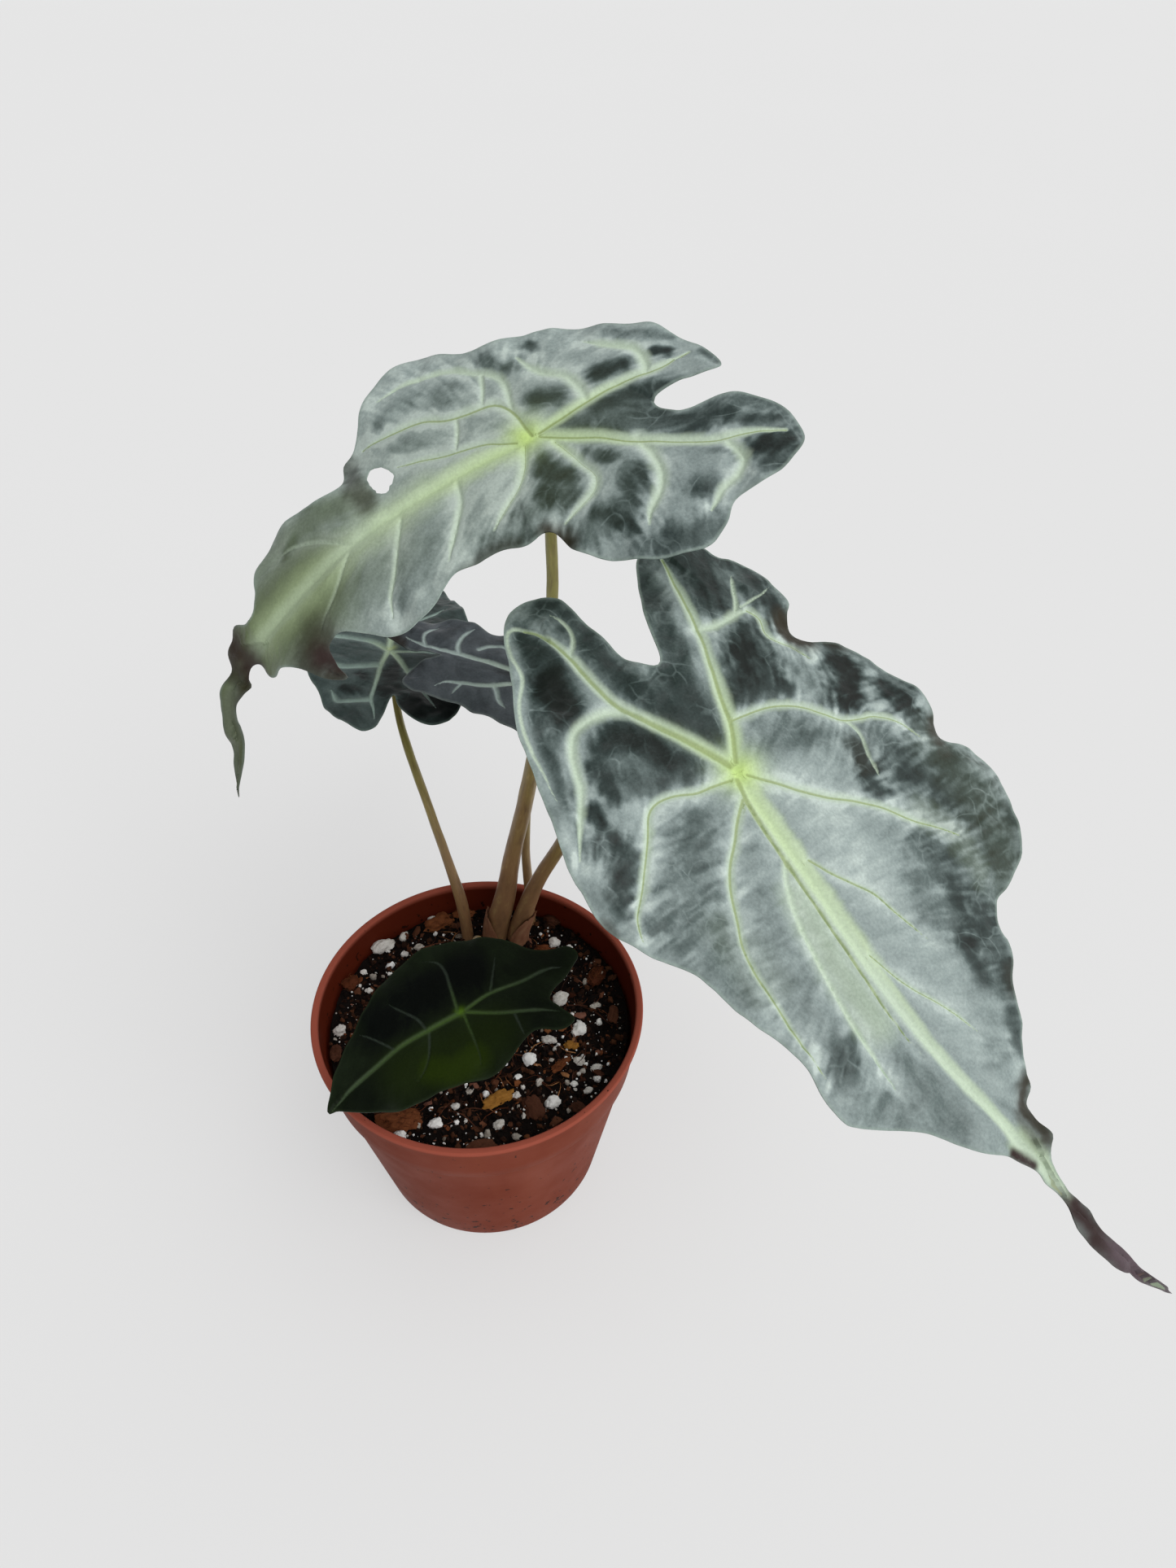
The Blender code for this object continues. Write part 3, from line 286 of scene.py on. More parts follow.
            (1.2, 0.9, 0.6, ((3, -4.4), (1.8, -9.3), (0.9, -13.8), (-1.3, -18.2), (-2.4, -22.7),
                (-1.3, -26.6), (3, -30.4), (7.6, -35), (12, -39.3), (16.4, -44.3), (21, -46.6))),
            (1.1, 0.6, 0.7, ((8.7, -5.6), (12, -10.2), (15.3, -13.8), (18.7, -18.2), (23, -22),
                (29.8, -25.8), (35.3, -28.8), (43, -30), (54, -30.6), (68, -31.8))),
            (0.9, 0.6, 0.0, ((25.3, -6), (29.8, -9.9), (38.7, -13.8), (49.8, -16.2), (60, -18),
                (70, -18.8), (80, -19))),
            # this thin vein beside the midrib carries the olive line: painted shade along the
            # groove's shaded side
            (0.7, 0.4, 1.3, ((4, -3), (10, -4.9), (19, -6.1), (32, -7.1), (44, -7.9), (57, -8.7),
                (67, -9.3), (78, -8.8)))),
        tones=(
            (0.2, 4.6, ((-27, 2.5), (-18, 1.2), (-9, 0))),
            (0.3, 3.4, ((-60, 21), (-50, 15.6), (-40, 11), (-30, 7))),
            (0.18, 4.2, ((-60, -10), (-50, -8), (-38, -8.6), (-26, -7.4), (-16, -4))),
            (0.12, 6.5, ((-57, 34), (-46, 32), (-38, 27))),
            (0.12, 4.2, ((-48, 42), (-38, 42), (-29, 40))),
            (0.1, 6.5, ((-27, 28), (-20, 22), (-13, 17))),
            (0.2, 3, ((-12, 12), (-10, 18), (-8, 24))),
            (0.62, 2.6, ((-15, 34.6), (-8, 33), (0, 31.4))), (0.15, 3.6, ((-12, 46), (-7, 43))),
            (-0.2, 4.2, ((-2.6, 43.6), (0.4, 40), (3.4, 37.4))),
            (0.1, 3.4, ((5.6, 50.6), (12, 50), (20, 50.6))),
            (0.5, 1.6, ((-6, 50), (2, 54), (11, 56))), (0.5, 6, ((0, 20), (4, 14))),
            (0.16, 3.2, ((13, 30.6), (18, 28.6), (25, 26))), (0.45, 5, ((12, 36), (22, 38))),
            (0.26, 8, ((28, 50), (40, 47), (50, 48), (58, 44))), (0.3, 6, ((27, 40), (36, 42))),
            (0.45, 6, ((44, 29), (54, 30), (62, 32))),
            (0.24, 3.4, ((56, 26), (60, 22), (66, 19.4), (75, 17))),
            (0.08, 1.6, ((61, 19.6), (67, 19), (71, 17.4), (75, 16))),
            (0.3, 3, ((63, 27), (72, 24))), (1.1, 7, ((12, 9), (28, 9), (42, 8))),
            (0.95, 7, ((56, 6), (75, 7), (88, 5))), (0.62, 4.5, ((47, 19), (58, 17))),
            (1.05, 2.4, ((90, 13), (95, 11))), (0.4, 3.2, ((70, 27), (80, 21))),
            (0.22, 1.8, ((77, 25.4), (81, 22.4))), (0.38, 2.6, ((86, 18.6), (93, 15.6))),
            (0.8, 4, ((80, 12), (90, 8))), (0.02, 4.6, ((-20.5, -18.4), (-13, -15), (-6, -13.2))),
            (0.06, 3.8, ((-21, -21), (-20, -25))), (0.36, 4, ((-15, -27), (-6, -23))),
            (0.16, 2.2, ((-18, -29.6), (-9, -31))),
            (-0.15, 5.4, ((-45, -22.6), (-38, -25.6), (-32, -26.6))),
            (0.12, 4, ((-58, -20), (-48, -21))),
            (0.3, 3.4, ((-36, -33.6), (-26, -37), (-15, -41.6))),
            (0.06, 2.3, ((-9.4, -37.6), (-4, -39), (1, -38))),
            (0.26, 2.8, ((-9, -45.4), (-2, -44))), (0.2, 3.2, ((3.6, -37), (8, -42), (12, -47))),
            (0.46, 4.6, ((7, -20), (12, -25), (17, -30))), (0.3, 2.2, ((-4, -12), (-4.4, -20))),
            (0.3, 1.5, ((21.6, -35), (20.6, -44))), (0.32, 1.5, ((27, -34), (26.6, -44))),
            (0.4, 2.6, ((31, -38), (40, -37))), (0.6, 7, ((22, -34), (40, -33))),
            (0.42, 3.4, ((47, -22), (52, -28))), (0.34, 2.2, ((60, -22), (65, -27), (70, -30))),
            (0.38, 2.2, ((66, -22), (72, -28))), (0.74, 4.5, ((30, -18), (44, -23), (58, -24))),
            (0.02, 1.6, ((80.4, -22.2), (83.6, -21.6))), (0.6, 4.5, ((78, -13), (94, -13))),
            (0.7, 4, ((76, -28), (88, -20))),
            (0.72, 2.0, ((-62, -21.6), (-53, -26.6), (-45, -31.4), (-36, -37), (-28, -39.6),
                (-15, -44), (-3, -48.6), (8, -50), (20, -47.6), (30, -43), (48, -37)))),
        tints=(
            ("pale", 0.85, 1.9, ((8, -2), (24, -3.2), (44, -4.4), (56, -4.8))),
            ("pale", 0.75, 1.1, ((56, -4.8), (76, -5), (90, -3.6), (106, -1))),
            ("pale", 0.3, 4.5, ((34, -9.5), (50, -12.5), (66, -13.6))),
            ("pale", 0.55, 3, ((108, 0), (124, 2))),
            ("olive", 0.25, 3.6, ((36, 33), (46, 37), (56, 36))),
            ("olive", 0.12, 8, ((26, 52), (44, 50), (60, 44))),
            ("olive", 0.15, 5, ((30, -30), (44, -30))),
            # painted shade: the dark brown strokes at the curled notch near (-20, 40) and at the
            # fold near (23, 55)
            ("brown", 1.0, 3.0, ((-24, 40), (-19, 38.4), (-15, 41))),
            ("brown", 0.8, 3.0, ((21, 56), (24, 52.6))),
            ("brown", 0.5, 2.5, ((-14, 46), (-10, 49))), ("brown", 0.4, 3, ((13, 30), (18, 28))),
            ("brown", 0.95, 2.7, ((100, 11), (104.6, 7), (111, 6))),
            ("brown", 0.6, 1.8, ((104, 3.4), (110, 3.4))), ("brown", 0.45, 2, ((78, 25), (82, 22))),
            ("maroon", 1.0, 1.2, ((109, -3.2), (114, -0.8))),
            ("maroon", 1.0, 4.6, ((129, 2), (141, 3), (151, 6))),
            ("mauve", 0.9, 3.4, ((143, 4.4), (152, 7), (168, 14))),
            ("brown", 0.6, 1.0, ((13, -50.4), (16, -50)))),
        grain=(
            (-20, 22, -24, 1.2), (-8, 35, -30, 1.1), (-42, 34, -25, 0.6), (0, 16, 112, 0.7),
            (5, 50, 86, 1.2), (16, 50, 80, 1.2), (14, 32, -40, 1.0), (33, 48, 88, 1.4),
            (46, 46, 85, 1.4), (57, 42, 70, 1.2), (30, 12, 82, 0.6), (50, 12, 75, 0.5),
            (62, 24, 58, 1.2), (75, 10, 70, 0.4), (92, 10, 55, 0.6), (10, -30, 80, 0.8),
            (25, -38, 92, 1.1), (42, -32, 75, 0.6), (60, -25, 120, 0.9), (74, -26, 125, 0.7),
            (-8, -38, 150, 0.8), (-15, -20, 160, 0.3), (-38, -25, 90, 0.2), (-28, -38, 165, 0.5),
            (-50, 14, 100, 0.4), (-45, -8, 95, 0.5), (-20, 2, 160, 0.15), (60, -12, 5, 0.3),
            (90, -8, 10, 0.3), (-5, 45, 40, 0.7), (24, 30, 75, 0.9)),
        folds=(
            (-20, 42, 5.5, -3.4), (23, 57, 4.5, -2.6), (104, 10, 5, -2.4), (0, 43, 5, -1.0),
            (38, 57, 6, 1.2), (62, 48, 6, -1.6), (110, -3, 4, -1.2), (48, 52, 4, -1.6)),
        tone=0.84, warm=(1.0, 5.3), crumple=0.9, droop=0.05, wave=1.2, wave_length=40,
        wave_phase=0.0, quilt=1.1, mesh=1.08, seed=7),
    "leaf_back_left": dict(
        slot="dark_blade", finish="slate", junction=(-33, 99, 149),
        spine=(
            (-45, -4, 92, 0), (0, 4, 92, 0), (40, 14, 92, 0), (90, 30, 92, 0)),
        outline=(
            (-28, -4), (-34, -1), (-41, 1), (-43, 7), (-37, 14), (-30, 19), (-22, 22), (-12, 27),
            (2, 30), (14, 30), (26, 27), (40, 21), (54, 13), (66, 6), (80, 0), (66, -7), (54, -14),
            (44, -19), (34, -23), (22, -27), (11, -31), (0, -32), (-12, -30), (-24, -28),
            (-34, -25), (-39, -19), (-38, -11), (-33, -6)),
        hole=(),
        veins=(
            (1.3, 0.7, 0.0, ((0, 0), (30, 0), (74, 0))),
            (1.1, 0.5, 0.0, ((-1, 0.2), (-9.6, 2), (-18.7, 2.6), (-27.8, 3.5), (-32.4, 2.4),
                (-38, 1.6))),
            (1.1, 0.6, 0.0, ((-1.5, -1), (-6, -3.7), (-11.5, -6.5), (-15, -8.3), (-22, -12),
                (-32, -18))),
            (1.0, 0.7, 0.0, ((-28.3, 4), (-28.7, 9.5), (-27.4, 14.5), (-21.5, 17.6))),
            (1.3, 0.9, 0.0, ((-9.6, 2.2), (-9.6, 8.5), (-9.5, 14), (-7.8, 18.5), (-3, 25))),
            (1.2, 1.1, 0.0, ((-0.5, 0.4), (4.9, 5.8), (8.5, 13), (10.4, 17.6), (12, 25))),
            (0.6, 0.4, 0.0, ((-1.5, -2), (-1.5, -8), (-2, -16), (-4, -28))),
            (0.9, 0.6, 0.0, ((-13, -7), (-10.7, -13.8), (-9, -20), (-10, -26))),
            (0.9, 0.6, 0.0, ((-20, -10.6), (-21, -17.6), (-19, -22), (-17.6, -28))),
            (0.9, 0.5, 0.0, ((14, 0), (22, -10), (31, -18))),
            (0.9, 0.5, 0.0, ((14, 0), (22, 9), (31, 17))),
            (0.8, 0.4, 0.0, ((30, 0), (39, 7), (47, 12))),
            (0.8, 0.4, 0.0, ((30, 0), (39, -7), (47, -13))),
            (0.7, 0.4, 0.0, ((50, 0), (57, 4), (62, 6))),
            (0.7, 0.4, 0.0, ((50, 0), (57, -4), (62, -7)))),
        tones=(
            (0.8, 14, ((-36, 8), (-20, 12), (10, 16), (40, 8))), (0.35, 12, ((0, -16), (40, -10))),
            (0.0, 6, ((-36, -10), (-28, -14), (-32, -22), (-20, -24))),
            (0.15, 4, ((-24, -2), (-12, -2))), (0.7, 3.5, ((-2, 12), (2, 14))),
            (0.15, 2.2, ((-18, 7), (-15, 8))), (0.15, 2, ((-24, 9), (-22, 13))),
            (0.6, 4, ((-38, 8), (-33, 14)))),
        tints=(),
        grain=(
            (-30, 10, 30, 0.7), (-15, 8, 80, 0.8), (0, 14, 60, 0.8), (-20, -10, 120, 0.7),
            (0, -18, 80, 0.7), (30, 10, 40, 0.7), (30, -10, 140, 0.7)),
        folds=(), tone=0.75, warm=(0.6, 1.8), crumple=0.9, droop=0.08, wave=1.3, wave_length=30,
        wave_phase=0.4, quilt=0.9, mesh=1.0, seed=13),
    "leaf_back_right": dict(
        slot="dark_blade", finish="plum", junction=(22, 66, 161),
        spine=(
            (-60, 0, -12, 6), (0, 8, -12, 6), (40, 24, -12, 6), (90, 42, -12, 6)),
        outline=(
            (-35, 1), (-42, 2), (-50, 5), (-57, 9), (-54, 14), (-46, 18), (-34, 21), (-23, 18),
            (-14, 20), (-2, 22), (12, 22), (26, 19), (40, 15), (54, 10), (68, 5), (84, 0), (70, -7),
            (56, -13), (42, -18), (28, -21), (12, -23), (-3, -22), (-13, -20), (-25, -16),
            (-35, -16), (-43, -13), (-44, -8), (-40, -2)),
        hole=(),
        veins=(
            (1.3, 0.7, 0.0, ((0, 0), (34, 0), (76, 0))),
            (1.0, 0.8, 0.0, ((0, 0), (-9, 1.2), (-21.5, 3.1), (-34, 4.2), (-40, 4.8), (-44, 6.6),
                (-49, 8.4))),
            (0.9, 0.7, 0.0, ((0, -2), (-7, -3.4), (-13, -6), (-18, -7.6), (-25, -8.2), (-30, -9),
                (-33, -11.6))),
            (0.8, 0.5, 0.0, ((-29.4, 4), (-31, 8), (-30.6, 13), (-28, 17))),
            (0.7, 0.5, 0.0, ((-24, 8), (-21, 10.4), (-16, 11), (-13, 8))),
            (0.8, 0.5, 0.0, ((-15, -6.6), (-13.4, -9), (-12, -12), (-9, -14.6))),
            (0.8, 0.5, 0.0, ((-1, 1), (2, 10), (10, 19))),
            (0.8, 0.5, 0.0, ((14, 0), (22, 8), (31, 15))),
            (0.8, 0.5, 0.0, ((30, 0), (40, 6), (49, 10))),
            (0.8, 0.5, 0.0, ((-1, -1), (2, -9), (10, -17))),
            (0.8, 0.5, 0.0, ((14, 0), (22, -8), (31, -14))),
            (0.8, 0.5, 0.0, ((30, 0), (40, -6), (49, -10))),
            (0.6, 0.4, 0.0, ((-41, 5), (-43, 10), (-40, 16))),
            (0.5, 0.3, 0.0, ((-25, -8.4), (-27, -13)))),
        tones=(
            (0.6, 9, ((-40, -9), (-25, 0), (-10, 0), (20, 0), (60, 0))),
            (0.5, 6, ((-46, 12), (-20, 14), (20, 12))), (0.2, 3, ((-46, 0), (-42, -4))),
            (0.1, 2.2, ((-16, 14), (-10, 16))), (0.6, 2.6, ((-24, -13), (-12, -17))),
            (0.2, 2, ((-14, -0.4), (-10, -1.4)))),
        tints=(("brown", 0.9, 2.4, ((-55, 10), (-50, 5))),),
        grain=(
            (-40, 12, 70, 0.8), (-20, 0, 10, 0.6), (-35, -8, 120, 0.6), (-10, -12, 100, 0.6),
            (20, 10, 50, 0.6), (20, -10, 130, 0.6)),
        folds=(), tone=0.75, warm=(0.5, 1.8), crumple=0.8, droop=0.08, wave=1.2, wave_length=26,
        wave_phase=0.2, quilt=0.8, mesh=1.0, seed=17),
    "leaf_front": dict(
        slot="dark_blade", finish="night", junction=(-1, -23, 107),
        spine=(
            (-42, 5, 196, -6), (0, 10, 196, -6), (30, 16, 199, -6), (70, 24, 204, -6)),
        outline=(
            (-26, 5), (-29, 10), (-31, 14), (-26, 15), (-19, 13), (-13, 17), (-5, 22), (6, 22),
            (18, 22), (29, 21), (38, 17), (44, 13), (47, 12), (42, 4), (36, -5), (29, -12),
            (20, -21), (9, -26), (-1, -26), (-11, -24), (-20, -18), (-27, -13), (-35, -11),
            (-38, -7), (-35, -3), (-29, 1)),
        hole=(),
        veins=(
            (1.0, 0.7, 0.0, ((0.7, 0.2), (11, 1.9), (20, 3.4), (29, 6.5), (38, 9.4), (45.5, 12.2))),
            (0.6, 0.5, 0.0, ((-1, 0.5), (-10, 4.2), (-17.3, 6), (-22, 7.4), (-27.3, 10))),
            (0.6, 0.6, 0.0, ((-1, -0.4), (-9, -3), (-19, -3.6), (-27.3, -5.2), (-32, -4.4))),
            (0.5, 0.3, 0.0, ((1.4, -0.4), (1.8, -10.4), (2, -15), (3.6, -19.5), (8, -22))),
            (0.4, 0.25, 0.0, ((11.8, 1.4), (13.6, -3), (18.2, -8.5), (21, -12.2))),
            (0.35, 0.2, 0.0, ((-9.5, -4), (-12.3, -11.3), (-14, -16.7))),
            (0.4, 0.25, 0.0, ((0, 0.5), (-1.4, 15), (0, 18.7))),
            (0.4, 0.25, 0.0, ((11, 2.2), (12.7, 8.7), (14.5, 12.4), (18.2, 16))),
            (0.4, 0.2, 0.0, ((-14.5, 6), (-15.5, 14))),
            (0.35, 0.2, 0.0, ((22, 4), (28, -3), (32, -7)))),
        tones=(
            (0.5, 8, ((-20, 8), (10, 14), (34, 14))), (0.6, 5, ((-30, -8), (-20, -8))),
            (0.0, 8, ((-4, -12), (12, -10), (24, -6)))),
        tints=(
            ("olive", 0.95, 5.0, ((0, 15), (7, 17), (13, 14))),
            ("olive", 0.4, 8, ((-6, 10), (20, 12)))),
        grain=(
            (0, 10, 80, 0.4), (0, -12, 90, 0.4), (30, 5, 60, 0.4), (-20, 0, 120, 0.4)),
        folds=(), tone=0.95, warm=(0.75, 1.5), crumple=0.3, droop=0.06, wave=0.8, wave_length=24,
        wave_phase=0.0, quilt=0.5, mesh=1.0, seed=19),
}

# Each stalk runs through these points, with its radius at each, up to its blade's junction.
STALKS = {
    "petiole_top": dict(
        leaf="leaf_top", neck=4.0,
        route=(
            (3.2, 36.8, 71, 4.4), (8.1, 35.5, 94.4, 3.5), (11.1, 34, 113.7, 2.8),
            (18.1, 32, 149.6, 2.4), (23.4, 30.4, 185, 1.9), (26.6, 28.8, 220, 1.6),
            (26.5, 28, 242, 1.5))),
    "petiole_right": dict(
        leaf="leaf_right", neck=4.0,
        route=(
            (10.9, 35.5, 72.8, 3.2), (14.6, 34.5, 87.5, 3.1), (18.9, 32.5, 102.6, 2.6),
            (24.8, 29, 119, 2.3), (38, 14, 159, 2.2), (54, -4, 187, 2.1), (63, -15, 198, 1.9))),
    "petiole_back_right": dict(
        leaf="leaf_back_right", neck=4.0,
        route=(
            (15.5, 43, 70, 1.8), (15.2, 45, 84, 1.6), (14.5, 52, 104, 1.5), (17, 59, 131, 1.3),
            (20.5, 64, 150, 1.2))),
    "petiole_back_left": dict(
        leaf="leaf_back_left", neck=5.0,
        route=(
            (-6.6, 36.5, 71, 2.1), (-7.9, 37.5, 88.7, 2.0), (-11.9, 42.5, 104.3, 1.6),
            (-18, 53, 119.4, 1.5), (-25.7, 71, 129, 1.4), (-30.3, 85, 134, 1.3))),
    "petiole_front": dict(
        leaf="leaf_front", neck=2.5,
        route=(
            (-1, 30, 70, 1.6), (-1, 26, 80, 1.5), (-1, 16, 92, 1.4), (-1, 0, 100, 1.3),
            (-1, -13, 102, 1.2))),
}

# Papery scales at the feet: the stalk each clasps, its inner radius, how high it stands, its arc
# in degrees at the foot, how far the arc swings on the way up, and how much of it is torn away
SCALES = {
    "dry_sheath": dict(
        stalk="petiole_right", inside=3.6, thick=0.7, flare=0.2, height=17.0, depth=6.0,
        arc=(-125, 95), swing=-25.0, taper=0.72, seed=5),
    "torn_scale": dict(
        stalk="petiole_top", inside=4.25, thick=0.35, flare=0.8, height=15.0, depth=4.0,
        arc=(-240, -70), swing=-22.0, taper=0.62, seed=8),
}

# Coarse grains at their places in the mix: x, y, half length, half width, turn in degrees
PERLITE = (
    (-36.1, 31.4, 4.6, 2.8, 24), (-29.5, 36.5, 2.2, 1.7, 70), (-23.5, 31.5, 2.0, 1.6, 10),
    (26.5, 9.0, 3.1, 2.7, 40), (32.9, -3.1, 3.4, 2.7, 60), (23.1, -7.4, 3.0, 1.8, -10),
    (17.0, -14.5, 2.8, 2.4, 80), (33.0, -15.1, 2.1, 1.7, -20), (38.7, -17.5, 2.2, 1.6, 15),
    (24.9, -30.4, 3.0, 2.4, 30), (-11.0, -38.4, 2.6, 2.0, 10), (-21.6, -41.9, 2.3, 2.0, 0),
    (-46.0, -3.5, 2.5, 2.2, 35), (-5.5, -31.5, 1.6, 1.3, 0), (-1.5, -26.0, 1.5, 1.1, 50),
    (24.0, 33.5, 2.4, 2.0, 20), (29.0, 30.5, 2.0, 1.6, 60), (38.5, 6.5, 1.9, 1.5, 25),
    (8.5, -38.5, 2.0, 1.6, 45), (14.0, -42.0, 1.6, 1.4, 5), (36.0, -26.0, 1.7, 1.3, 15),
    (-38.5, 12.5, 1.5, 1.2, 0), (-33.0, -17.0, 1.6, 1.4, 70), (31.5, -23.5, 1.4, 1.1, 0),
    (13.5, -21.0, 1.6, 1.2, 30), (20.5, -23.5, 1.5, 1.3, 60), (-20.0, 44.5, 1.8, 1.4, 0),
    (2.0, 47.5, 2.0, 1.5, 20), (40.0, 20.0, 1.6, 1.2, 40), (-41.5, 21.0, 1.4, 1.2, 0))
PERLITE_SCALE = 0.86  # The grains were traced with their blur

# Chips: x, y, half length, half width, half height, turn in degrees, kind
CHIPS = (
    (-17.4, 42.2, 5.2, 3.2, 1.9, 15, "coir"), (-45.0, 15.5, 3.2, 2.6, 1.6, 70, "coir"),
    (38.6, 18.9, 4.2, 2.4, 1.6, 60, "coir"), (-22.0, -36.8, 6.4, 3.8, 2.2, 12, "coir"),
    (8.6, -28.8, 5.0, 2.2, 1.4, 34, "wood"), (19.0, -32.0, 3.9, 2.8, 1.5, -50, "bark"),
    (27.6, -16.4, 3.6, 1.2, 1.0, 42, "coir"), (30.3, -9.4, 2.1, 1.6, 1.2, 0, "wood"),
    (19.6, 31.1, 2.8, 1.2, 1.0, 10, "coir"), (-32.0, -30.0, 3.8, 2.0, 1.3, 120, "bark"),
    (4.0, -46.0, 4.4, 2.4, 1.4, 20, "bark"), (34.0, -33.0, 3.6, 1.8, 1.2, -40, "bark"),
    (-46.0, -12.0, 3.4, 1.8, 1.2, 100, "bark"), (-9.0, 46.5, 3.6, 1.8, 1.2, 5, "coir"),
    (44.5, 3.0, 3.6, 1.6, 1.2, 85, "bark"), (22.5, 44.0, 3.8, 2.2, 1.4, -30, "bark"))


def linear(hex_colour):
    """A colour in sRGB hex, as the linear values that a shader takes. A setting is so already."""
    if not isinstance(hex_colour, str):
        return list(hex_colour)
    parts = [int(hex_colour[i:i + 2], 16) / 255 for i in (1, 3, 5)]
    return [p / 12.92 if p <= 0.04045 else ((p + 0.055) / 1.055) ** 2.4 for p in parts] + [1.0]


def length_setting(name, default_mm, description):
    return FloatProperty(name=name, default=default_mm * MM, description=description,
                         unit="LENGTH", subtype="DISTANCE", precision=5)


def colour_setting(name, default_hex, description):
    return FloatVectorProperty(name=name, default=linear(default_hex), description=description,
                               subtype="COLOR", size=4, min=0.0, max=1.0)


class AlocasiaPotSettings(bpy.types.PropertyGroup):
    rim_radius: length_setting("Rim radius", 54.0, "Outer radius of the rolled lip")
    height: length_setting("Height", 80.0, "From the base to the top of the lip")
    base_radius: length_setting("Base radius", 39.4, "Outer radius at the flat base")
    wall: length_setting("Wall", 1.4, "Thickness of the moulded wall")
    sides: IntProperty(name="Sides", default=144, min=24, description="Facets round the pot")
    body_colour: colour_setting("Body colour", "#77331F", "Terracotta coloured plastic")
    # painted sheen: a lighter band along the top of the lip
    lip_sheen_colour: colour_setting("Lip colour", "#9E5242", "Where handling has polished the lip")
    # painted shade: a darker colour over the pot's inner face
    inside_shade_colour: colour_setting("Inside colour", "#561F11", "The damp inner face")
    dirt_colour: colour_setting("Dirt colour", "#1E0F0A", "Specks of dried mix on the wall")


class AlocasiaMixSettings(bpy.types.PropertyGroup):
    relief: length_setting("Relief", 1.3, "How high the lumps of the mix stand")
    crumb: length_setting("Crumb", 0.72, "Half size of a typical peat crumb")
    perlite: length_setting("Perlite", 0.8, "Half size of a typical small perlite grain")
    seed: IntProperty(name="Seed", default=21, description="Seed for every scatter in the mix")
    peat_colour: colour_setting("Peat colour", "#120906", "Damp peat")
    perlite_colour: colour_setting("Perlite colour", "#F6F4F0", "Expanded volcanic glass")
    bark_colour: colour_setting("Bark colour", "#4A2A1C", "Chipped pine bark")


class AlocasiaLeafSettings(bpy.types.PropertyGroup):
    thickness: length_setting("Thickness", 0.55, "Thickness of a blade between its veins")
    groove: length_setting("Groove", 0.42, "How deep the veins lie in the upper face")
    silver_colour: colour_setting("Silver", "#BBC8C2",
                                  "The full silvery bloom of the two large blades")
    dark_colour: colour_setting("Dark", "#060B06", "Their dark tissue where the bloom is missing")
    vein_colour: colour_setting("Vein", "#BFD0BA", "The pale band along their veins")


class AlocasiaStalkSettings(bpy.types.PropertyGroup):
    sides: IntProperty(name="Sides", default=28, min=8, description="Facets round a stalk")
    ring_gap: length_setting("Ring gap", 1.0, "Distance between rings along a stalk")
    foot_colour: colour_setting("Foot colour", "#8C6848", "Tan skin near the mix")
    top_colour: colour_setting("Top colour", "#8B8444", "Olive skin near the blade")
    sheath_colour: colour_setting("Sheath colour", "#93694C", "Dried papery scales at the feet")


class AlocasiaStageSettings(bpy.types.PropertyGroup):
    floor_colour: colour_setting("Floor colour", "#8F8F8F", "Painted board under its own glow")
    floor_glow: FloatProperty(name="Floor glow", default=0.505, min=0.0,
                              description="Light that the pale board sends up from behind")
    key_strength: FloatProperty(name="Key light", default=1.5, min=0.0,
                                description="Strength of the soft sun from the upper right")
    fill_strength: FloatProperty(name="Fill light", default=0.62, min=0.0,
                                 description="Strength of the even light from all round")


# Nodes and objects

def feed(tree, made, inputs):
    """Sets inputs of a node to values, or links them to a socket or to a node's first output."""
    for key, value in inputs.items():
        if isinstance(value, bpy.types.Node):
            value = value.outputs[0]
        if isinstance(value, bpy.types.NodeSocket):
            tree.links.new(value, made.inputs[key])
        else:
            made.inputs[key].default_value = value


def node(tree, kind, inputs=None, ramp=(), **settings):
    """Adds one node with its settings and links. A shader node is named without its prefix."""
    made = tree.nodes.new(kind if "Node" in kind else "ShaderNode" + kind)
    for setting, value in settings.items():
        setattr(made, setting, value)
    feed(tree, made, inputs or {})
    for k, (position, colour) in enumerate(ramp):
        stops = made.color_ramp.elements
        stop = stops[k] if k < len(stops) else stops.new(1.0)
        stop.position, stop.color = position, linear(colour)
    return made


def new_finish(name, **sockets):
    """A material with its shader's plain sockets set, its tree and its shader."""
    made = bpy.data.materials.new(name)
    made.use_nodes = True
    shader = made.node_tree.nodes["Principled BSDF"]
    for socket, value in sockets.items():
        shader.inputs[socket.replace("_", " ")].default_value = value
    return made, made.node_tree, shader


def layered(tree, ground, layers):
    """The ground colour under a stack of (how much, colour) layers."""
    for amount, colour in layers:
        mixed = {0: amount, 6: ground, 7: linear(colour)}
        ground = node(tree, "Mix", mixed, data_type="RGBA").outputs[2]
    return ground


def add_to_scene(name, data):
    """A new object that holds the data, linked to the scene."""
    made = bpy.data.objects.new(name, data)
    bpy.context.scene.collection.objects.link(made)
    return made


def add_object(name, points_mm, faces, finishes, face_finish=None, sharp_angle=50):
    """A mesh object from points in millimetres, shaded smooth but for its sharp edges."""
    mesh = bpy.data.meshes.new(name)
    mesh.from_pydata((np.asarray(points_mm, float) * MM).tolist(), [], faces)
    for finish in finishes:
        mesh.materials.append(finish)
    if face_finish is not None:
        mesh.polygons.foreach_set("material_index", face_finish)
    mesh.shade_smooth()
    mesh.set_sharp_from_angle(angle=math.radians(sharp_angle))
    return add_to_scene(name, mesh)


def mark(mesh, name, values):
    """Stores one value, or one vector, for each point of a mesh."""
    values = np.array(values, float)
    kind, key = ("FLOAT", "value") if values.ndim == 1 else ("FLOAT_VECTOR", "vector")
    layer = mesh.attributes.get(name) or mesh.attributes.new(name, kind, "POINT")
    layer.data.foreach_set(key, values.ravel())


